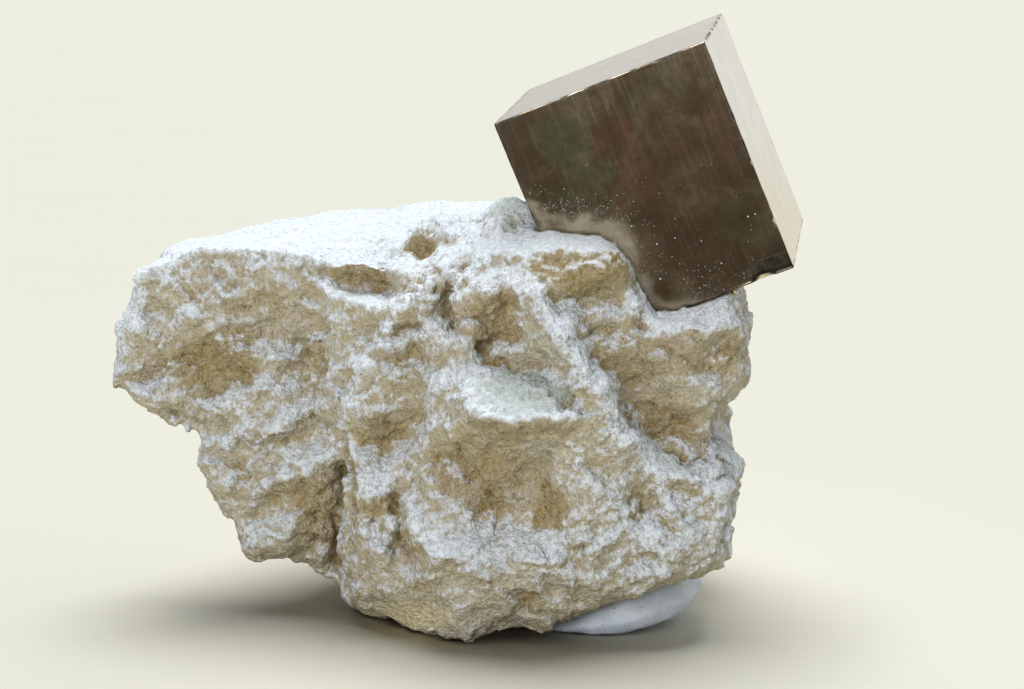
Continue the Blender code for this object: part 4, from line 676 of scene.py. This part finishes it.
def crystal_block():
    """Six grids that meet at the edges, welded into one closed block."""
    bm = bmesh.new()
    for axis in range(3):
        first, second = (axis + 1) % 3, (axis + 2) % 3
        rows, columns = grid_places(crystal_half[first]), grid_places(crystal_half[second])
        for side in (-1, 1):
            made = []
            for a in rows:
                for b in columns:
                    place = [0.0, 0.0, 0.0]
                    place[axis], place[first], place[second] = side * crystal_half[axis], a, b
                    made.append(bm.verts.new(place))
            wide = len(columns)
            for i in range(len(rows) - 1):
                for j in range(wide - 1):
                    corners = [made[i * wide + j], made[(i + 1) * wide + j]]
                    corners += [made[(i + 1) * wide + j + 1], made[i * wide + j + 1]]
                    bm.faces.new(corners if side > 0 else corners[::-1])
    bmesh.ops.remove_doubles(bm, verts=bm.verts, dist=0.001)
    mesh = bpy.data.meshes.new("crystal")
    bm.to_mesh(mesh)
    bm.free()
    return mesh


crystal_mesh = crystal_block()
block = places_of(crystal_mesh)
inner = crystal_half - EDGE_ROUND
core_point = np.clip(block, -inner, inner)
away = block - core_point
reach = np.linalg.norm(away, axis=1)
round_share = np.where(reach > EDGE_ROUND, EDGE_ROUND / np.maximum(reach, 1e-9), 1.0)
block = core_point + away * round_share[:, None]
waver = cloud_at(block, 1.4, 3, 2.0)
for place, towards, depth, reach_mm in CHIPS.values():
    towards = np.array(towards) / np.linalg.norm(towards)
    offset = block - np.array(place)
    along = offset @ towards
    beside = np.linalg.norm(offset - np.outer(along, towards), axis=1)
    limit = -depth * 1.3 + (beside / reach_mm) ** 2 * 0.35 + 0.05 * waver
    over = along - limit
    block -= np.outer(np.where((over > 0) & (beside < 2.5 * reach_mm), over, 0), towards)
steps = soft_step(block[:, 0] + waver, 3.6, 7.0) * soft_step(-block[:, 2] - waver, 7.4, 9.8)
steps *= soft_step(-block[:, 1], 9.3, 9.45)
block[:, 1] += steps * (0.06 + 0.05 * np.sin(block[:, 2] * 14 + 1.2 * waver))
front = soft_step(-block[:, 1], 9.2, 9.4)
face_across, face_up = picture_place(from_crystal(block))
face_wave = 0.5 * cloud_at(block, 1.1, 3, 5.0)
crust = over_line(face_across + face_wave, face_up + face_wave, CONTACT_LINE, 0.65) * front
patch_across = face_across + 2.4 * cloud_at(block, 3.0, 4, 8.0)
patch_up = face_up + 2.4 * cloud_at(block, 3.0, 4, 10.0)
reddish = np.maximum.reduce([over_spot(patch_across, patch_up, s) for s in RED_PATCHES]) * front
olive = np.maximum.reduce([over_spot(patch_across, patch_up, s) for s in OLIVE_PATCHES]) * front
edge_gap = np.sort(crystal_half - np.abs(block), axis=1)[:, 1]
# Base colour is darkened along the crystal's edges where the noise allows.
edge_darkening = (1 - soft_step(edge_gap, 0.05, 0.35)) * soft_step(waver, -0.4, 0.5)
for name, values in {"edge_darkening": edge_darkening, "crust": crust, "reddish": reddish, "olive": olive, "black": steps, "front": front}.items():
    layer = crystal_mesh.attributes.new(name, "FLOAT", "POINT")
    layer.data.foreach_set("value", values.astype(np.float32))
move_points(crystal_mesh, from_crystal(block))
placed = places_of(crystal_mesh)
print("crystal box in mm", placed.min(0).round(2), placed.max(0).round(2))

# %% [markdown]
# Pyrite is a metal-bright sulphide, brass yellow when fresh and browner with a thin tarnish.
# Its colour varies in large soft patches of reddish and olive brown, and fine growth lines run along the face.
# A mirror needs something to mirror, so most of its look comes from the light and the dark card further down, and the
# front face's base colour is also painted darker than the other faces as a painted reflection of the dim room.

# %% Finish of the crystal
pyrite = Finish("pyrite_finish")
turned = pyrite.node("ShaderNodeVectorRotate", {"rotation_type": "EULER_XYZ", "invert": True},
                     {"Vector": pyrite.place, "Center": crystal_centre * MM, "Rotation": CRYSTAL_TURN})
pyrite.place = turned
patches = pyrite.cloud(4.5, 4.0, 0.6, 0.8)
red_noise = pyrite.cloud(2.2, 4.0, 0.6, 0.5)
mottle = pyrite.cloud(0.5, 4.0, 0.7)
front_share = pyrite.value("front") * 0.75 + 0.25
# The front face is given a darker base colour than the other faces: a painted reflection of the dim room in front.
metal = pyrite.mix(1 - (1 - patches.clear(0.38, 0.62)) * front_share, (0.46, 0.37, 0.25), (0.72, 0.62, 0.46))
red_share = (pyrite.value("reddish") + (red_noise - 0.5) * 1.8).clear(0.1, 1.4) * front_share * 0.75
metal = pyrite.mix(red_share, metal, (0.70, 0.37, 0.28))
olive_share = (pyrite.value("olive") + (patches - 0.5) * 1.6).clear(0.25, 1.0) * 0.8
metal = pyrite.mix(olive_share, metal, (0.55, 0.60, 0.40))
metal = pyrite.mix(mottle.clear(0.38, 0.58) * front_share * 0.4, metal, (0.36, 0.28, 0.20))
lines = pyrite.node("ShaderNodeTexNoise", {}, {
    "Vector": pyrite.stretched((1.0, 1.0, 0.035)), "Scale": 1 / (0.22 * MM), "Detail": 3.0})
across_lines = pyrite.node("ShaderNodeTexNoise", {}, {
    "Vector": pyrite.stretched((0.03, 0.03, 1.0)), "Scale": 1 / (0.3 * MM), "Detail": 2.0})
haze = pyrite.cloud(2.2, 4.0, 0.65)
black = (pyrite.value("black") * 1.4 + (across_lines - 0.5) * 0.9 + (lines - 0.5) * 1.4).clear(0.25, 1.35)
# Base colour goes nearly black along the edges and on the stepped corner.
darkened_edges = (pyrite.value("edge_darkening") + black).clear(0.0, 1.0)
metal = pyrite.mix(darkened_edges * 0.9, metal, (0.03, 0.027, 0.02))
rough = 0.15 + haze * 0.10 + lines.clear(0.45, 0.7) * 0.03 + darkened_edges * 0.2
crust_share = (pyrite.value("crust") + (mottle - 0.5) * 1.0 + (haze - 0.5) * 1.0).clear(0.1, 1.7) * 0.6
crust_colour = pyrite.mix(mottle.clear(0.35, 0.65), (0.10, 0.12, 0.085), (0.25, 0.285, 0.24))
metal = pyrite.mix(crust_share, metal, crust_colour)
growth = (lines * 0.7 + across_lines * 0.3) * (pyrite.value("front") * 0.85 + 0.15)
pyrite_normal = pyrite.bump(growth, 0.012, 0.22)
pyrite.fill(pyrite.shader, {"Base Color": metal, "Metallic": 1 - crust_share, "Normal": pyrite_normal,
                            "Roughness": rough + crust_share * 0.3})
crystal_piece = hand_over(crystal_mesh, "crystal", pyrite, "pyrite", "pyrite_crystal")

# %% [markdown]
# Dust and crumbs of marl lie on the crystal's face, most of them just above the stone.
# Each is a tiny ball pressed out of round, set on the face where the picture shows it, and all of them are one piece.

# %% Dust on the crystal
def ray_towards(x, y):
    """The way from the camera to a place in the picture."""
    column = (x * MARK_PIXELS + MARK_ORIGIN[0] - PICTURE_WIDTH / 2) / FOCAL_PIXELS
    row = (PICTURE_HEIGHT / 2 - MARK_ORIGIN[1] + y * MARK_PIXELS) / FOCAL_PIXELS
    ahead, upward = (Vector((0, math.sin(a), -math.cos(a))) for a in (CAMERA_TILT, CAMERA_TILT + math.pi / 2))
    return (ahead + row * upward + Vector((column, 0, 0))).normalized()


def on_front_face(x, y):
    """The point of the crystal's front face at a place in the picture."""
    outward = Vector(crystal_turn @ np.array((0, -1, 0)))
    point = Vector(from_crystal(np.array((0, -crystal_half[1], 0))))
    ray = ray_towards(x, y)
    return camera_place + ray * ((point - camera_place).dot(outward) / ray.dot(outward))


def grain_ball(bm, place, size, chance):
    """One grain: a small ball of few faces, squeezed at random."""
    squeeze = Matrix.Diagonal([size * chance.uniform(0.6, 1.2) for _ in range(3)]).to_4x4()
    turn = Euler([chance.uniform(0, 3) for _ in range(3)]).to_matrix().to_4x4()
    bmesh.ops.create_icosphere(bm, subdivisions=1, radius=1.0, matrix=Matrix.Translation(place) @ turn @ squeeze)


DUST_CLOUDS = [(7.5, 36.2, 1.6, 0.8, 90), (10.5, 35.6, 2.2, 0.7, 90), (13.6, 33.8, 1.4, 1.0, 50), (19.8, 29.6, 1.2, 0.9, 60),
               (15.5, 31.0, 1.0, 1.6, 30), (22.5, 31.0, 1.8, 1.4, 25), (16, 36, 5.0, 3.0, 40)]
LARGE_SPECKS = [(16.4, 33.0), (20.1, 33.25), (21.8, 31.4), (17.9, 33.5), (14.3, 34.5), (16.7, 30.1), (24, 35.3), (24.6, 35.5)]
chance = random.Random(4)
dust_bm = bmesh.new()
for x, y, wide, high, count in DUST_CLOUDS:
    for _ in range(count):
        place = on_front_face(chance.gauss(x, wide), chance.gauss(y, high))
        inside = np.abs(in_crystal(np.array([place]))[0]) < crystal_half - 0.1
        if inside[0] and inside[2]:
            grain_ball(dust_bm, place, chance.uniform(0.018, 0.045), chance)
for x, y in LARGE_SPECKS:
    grain_ball(dust_bm, on_front_face(x, y), chance.uniform(0.07, 0.10), chance)
dust_mesh = bpy.data.meshes.new("dust")
dust_bm.to_mesh(dust_mesh)
dust_bm.free()
powder_white = Finish("powder_finish")
powder_tone = powder_white.cloud(0.1, 2.0)
powder_white.fill(powder_white.shader, {
    "Base Color": powder_white.mix(powder_tone, (0.62, 0.64, 0.66), (0.86, 0.88, 0.90)), "Roughness": 0.85})
dust_piece = hand_over(dust_mesh, "crystal_dust", powder_white, "marl")

# %% [markdown]
# Where the crystal's lower edge leaves the stone, a few tiny pyrite cubes and an olive crumb sit in the gap.
# They are laid on the marl by following the camera's line of sight down to the stone.

# %% Golden grains in the gap
stone_tree = BVHTree.FromObject(marl_piece, bpy.context.evaluated_depsgraph_get())


def on_marl(x, y):
    """The point of the marl that the picture shows at this place."""
    hit = stone_tree.ray_cast(camera_place * MM, ray_towards(x, y))[0]
    return hit / MM if hit else None


GRAIN_PLACES = [(22.2, 29.0), (22.5, 29.3), (22.9, 29.3), (23.2, 29.5), (22.8, 28.9), (23.5, 29.5), (21.9, 28.7)]
grains_bm = bmesh.new()
for x, y in GRAIN_PLACES:
    place = on_marl(x, y)
    if place:
        size = chance.uniform(0.22, 0.42)
        turn = Euler([chance.uniform(0, 3) for _ in range(3)]).to_matrix().to_4x4()
        bmesh.ops.create_cube(grains_bm, size=size, matrix=Matrix.Translation(place) @ turn)
bmesh.ops.bevel(grains_bm, geom=grains_bm.edges[:], offset=0.02, segments=1, affect="EDGES")
grains_mesh = bpy.data.meshes.new("grains")
grains_bm.to_mesh(grains_mesh)
grains_bm.free()
golden = Finish("golden_grain_finish")
golden_tone = golden.cloud(0.2, 2.0)
golden.fill(golden.shader, {"Base Color": golden.mix(golden_tone, (0.62, 0.46, 0.20), (0.80, 0.64, 0.34)),
                            "Metallic": 1.0, "Roughness": 0.25 + golden_tone * 0.2})
grains_piece = hand_over(grains_mesh, "golden_grains", golden, "pyrite")
grains_piece.data.shade_flat()

# %% [markdown]
# The putty is soft, so it is a rounded pebble shape that the stone has pressed flat, with shallow finger dents.
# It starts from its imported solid, gets a fine skin, is smoothed, and a few broad dents and small specks finish it.

# %% Shape the putty
putty_mesh = fine_skin("putty_pad", 0.16)
putty_near = Neighbours(putty_mesh)
body = putty_near.mean(places_of(putty_mesh), 12)
move_points(putty_mesh, body)
putty_facing = directions_of(putty_mesh)
dents = 0.16 * cloud_at(body, 2.6, 2, 4.0) + 0.03 * cloud_at(body, 0.7, 3, 8.0)
body = body + putty_facing * (0.08 + dents)[:, None]
move_points(putty_mesh, body)

# %% Finish of the putty
putty = Finish("putty_finish")
tone = putty.cloud(3.0, 3.0, 0.6)
dust = putty.cloud(0.5, 4.0, 0.7)
colour = putty.mix(tone.clear(0.35, 0.65), (0.54, 0.60, 0.69), (0.66, 0.71, 0.79))
colour = putty.mix(dust.clear(0.5, 0.8) * 0.4, colour, (0.50, 0.46, 0.38))
specks = putty.cloud(0.16, 0.0).clear(0.74, 0.77)
colour = putty.mix(specks * 0.6, colour, (0.14, 0.14, 0.16))
putty.fill(putty.shader, {"Base Color": colour, "Roughness": 0.62 + dust * 0.25,
                          "Normal": putty.bump(dust, 0.05, 0.5)})
putty_piece = hand_over(putty_mesh, "putty", putty, "putty", "putty_pad")

# %% [markdown]
# The stage is a plain cream floor that runs far back, under a pale room.
# The light is a large soft one from behind and above, so tops go nearly white and fronts stay warm from the floor.
# The crystal's front mirrors the dim side of the room: a dark card that only mirror rays meet stands for it.

# %% Floor
def plain_piece(name, corners, finish):
    """A flat sheet for the stage."""
    mesh = bpy.data.meshes.new(name)
    mesh.from_pydata(corners, [], [tuple(range(len(corners)))])
    mesh.materials.append(finish.material)
    sheet = bpy.data.objects.new(name, mesh)
    bpy.context.scene.collection.objects.link(sheet)
    return sheet


cream = Finish("cream_floor")
cream_tone = cream.cloud(40.0, 2.0, 0.5)
cream.fill(cream.shader, {"Base Color": cream.mix(cream_tone, (0.655, 0.628, 0.525), (0.67, 0.643, 0.537)),
                          "Roughness": 0.9})
FLOOR_HALF = 6.0
floor = plain_piece("floor", [(-FLOOR_HALF, -FLOOR_HALF, 0), (FLOOR_HALF, -FLOOR_HALF, 0),
                              (FLOOR_HALF, FLOOR_HALF, 0), (-FLOOR_HALF, FLOOR_HALF, 0)], cream)

# %% Dark card for the mirror face
dark = Finish("dark_card")
dark.fill(dark.shader, {"Base Color": (0.0, 0.0, 0.0, 1), "Roughness": 1.0,
                        "Emission Color": (0.053, 0.037, 0.017, 1), "Emission Strength": 1.0})
card = plain_piece("card", [(-0.30, -0.03, 0.0005), (0.20, -0.03, 0.0005), (0.20, -0.7, 0.10), (-0.30, -0.7, 0.10)], dark)
card.visible_camera = card.visible_diffuse = card.visible_shadow = card.visible_transmission = False

# %% Light
world = bpy.data.worlds.new("room")
bpy.context.scene.world = world
world.use_nodes = True
sky = world.node_tree.nodes
towards = sky.new("ShaderNodeTexCoord")
lit_side = sky.new("ShaderNodeVectorMath")
lit_side.operation = "DOT_PRODUCT"
lit_side.inputs[1].default_value = (0.8, 0.75, 0.1)
fade = sky.new("ShaderNodeMapRange")
fade.interpolation_type = "SMOOTHSTEP"
for socket, value in (("From Min", -0.2), ("From Max", 1.1), ("To Min", 0.05), ("To Max", 1.0)):
    fade.inputs[socket].default_value = value
world.node_tree.links.new(towards.outputs["Generated"], lit_side.inputs[0])
world.node_tree.links.new(lit_side.outputs["Value"], fade.inputs["Value"])
world.node_tree.links.new(fade.outputs["Result"], sky["Background"].inputs["Strength"])
sky["Background"].inputs["Color"].default_value = (0.93, 0.97, 1.0, 1)
window = bpy.data.lights.new("window", "SUN")
window.energy, window.angle, window.color = 3.25, math.radians(40), (0.96, 1.0, 1.03)
window_holder = bpy.data.objects.new("window", window)
window_holder.rotation_euler = Vector((0.03, 0.20, 1.0)).to_track_quat("Z", "Y").to_euler()
bpy.context.scene.collection.objects.link(window_holder)
fill = bpy.data.lights.new("fill", "AREA")
fill.energy, fill.size, fill.color = 1.12, 0.25, (0.98, 0.99, 1.0)
fill_holder = bpy.data.objects.new("fill", fill)
fill_holder.location = (-0.12, -0.36, 0.17)
fill_holder.rotation_euler = (fill_holder.location - Vector((0, 0, 0.02))).to_track_quat("Z", "Y").to_euler()
bpy.context.scene.collection.objects.link(fill_holder)
lit_by_fill = bpy.data.collections.new("lit_by_fill")
for piece in (marl_piece, crystal_piece, putty_piece, dust_piece, grains_piece):
    lit_by_fill.objects.link(piece)
fill_holder.light_linking.receiver_collection = lit_by_fill
bpy.context.scene.view_settings.view_transform = "Standard"
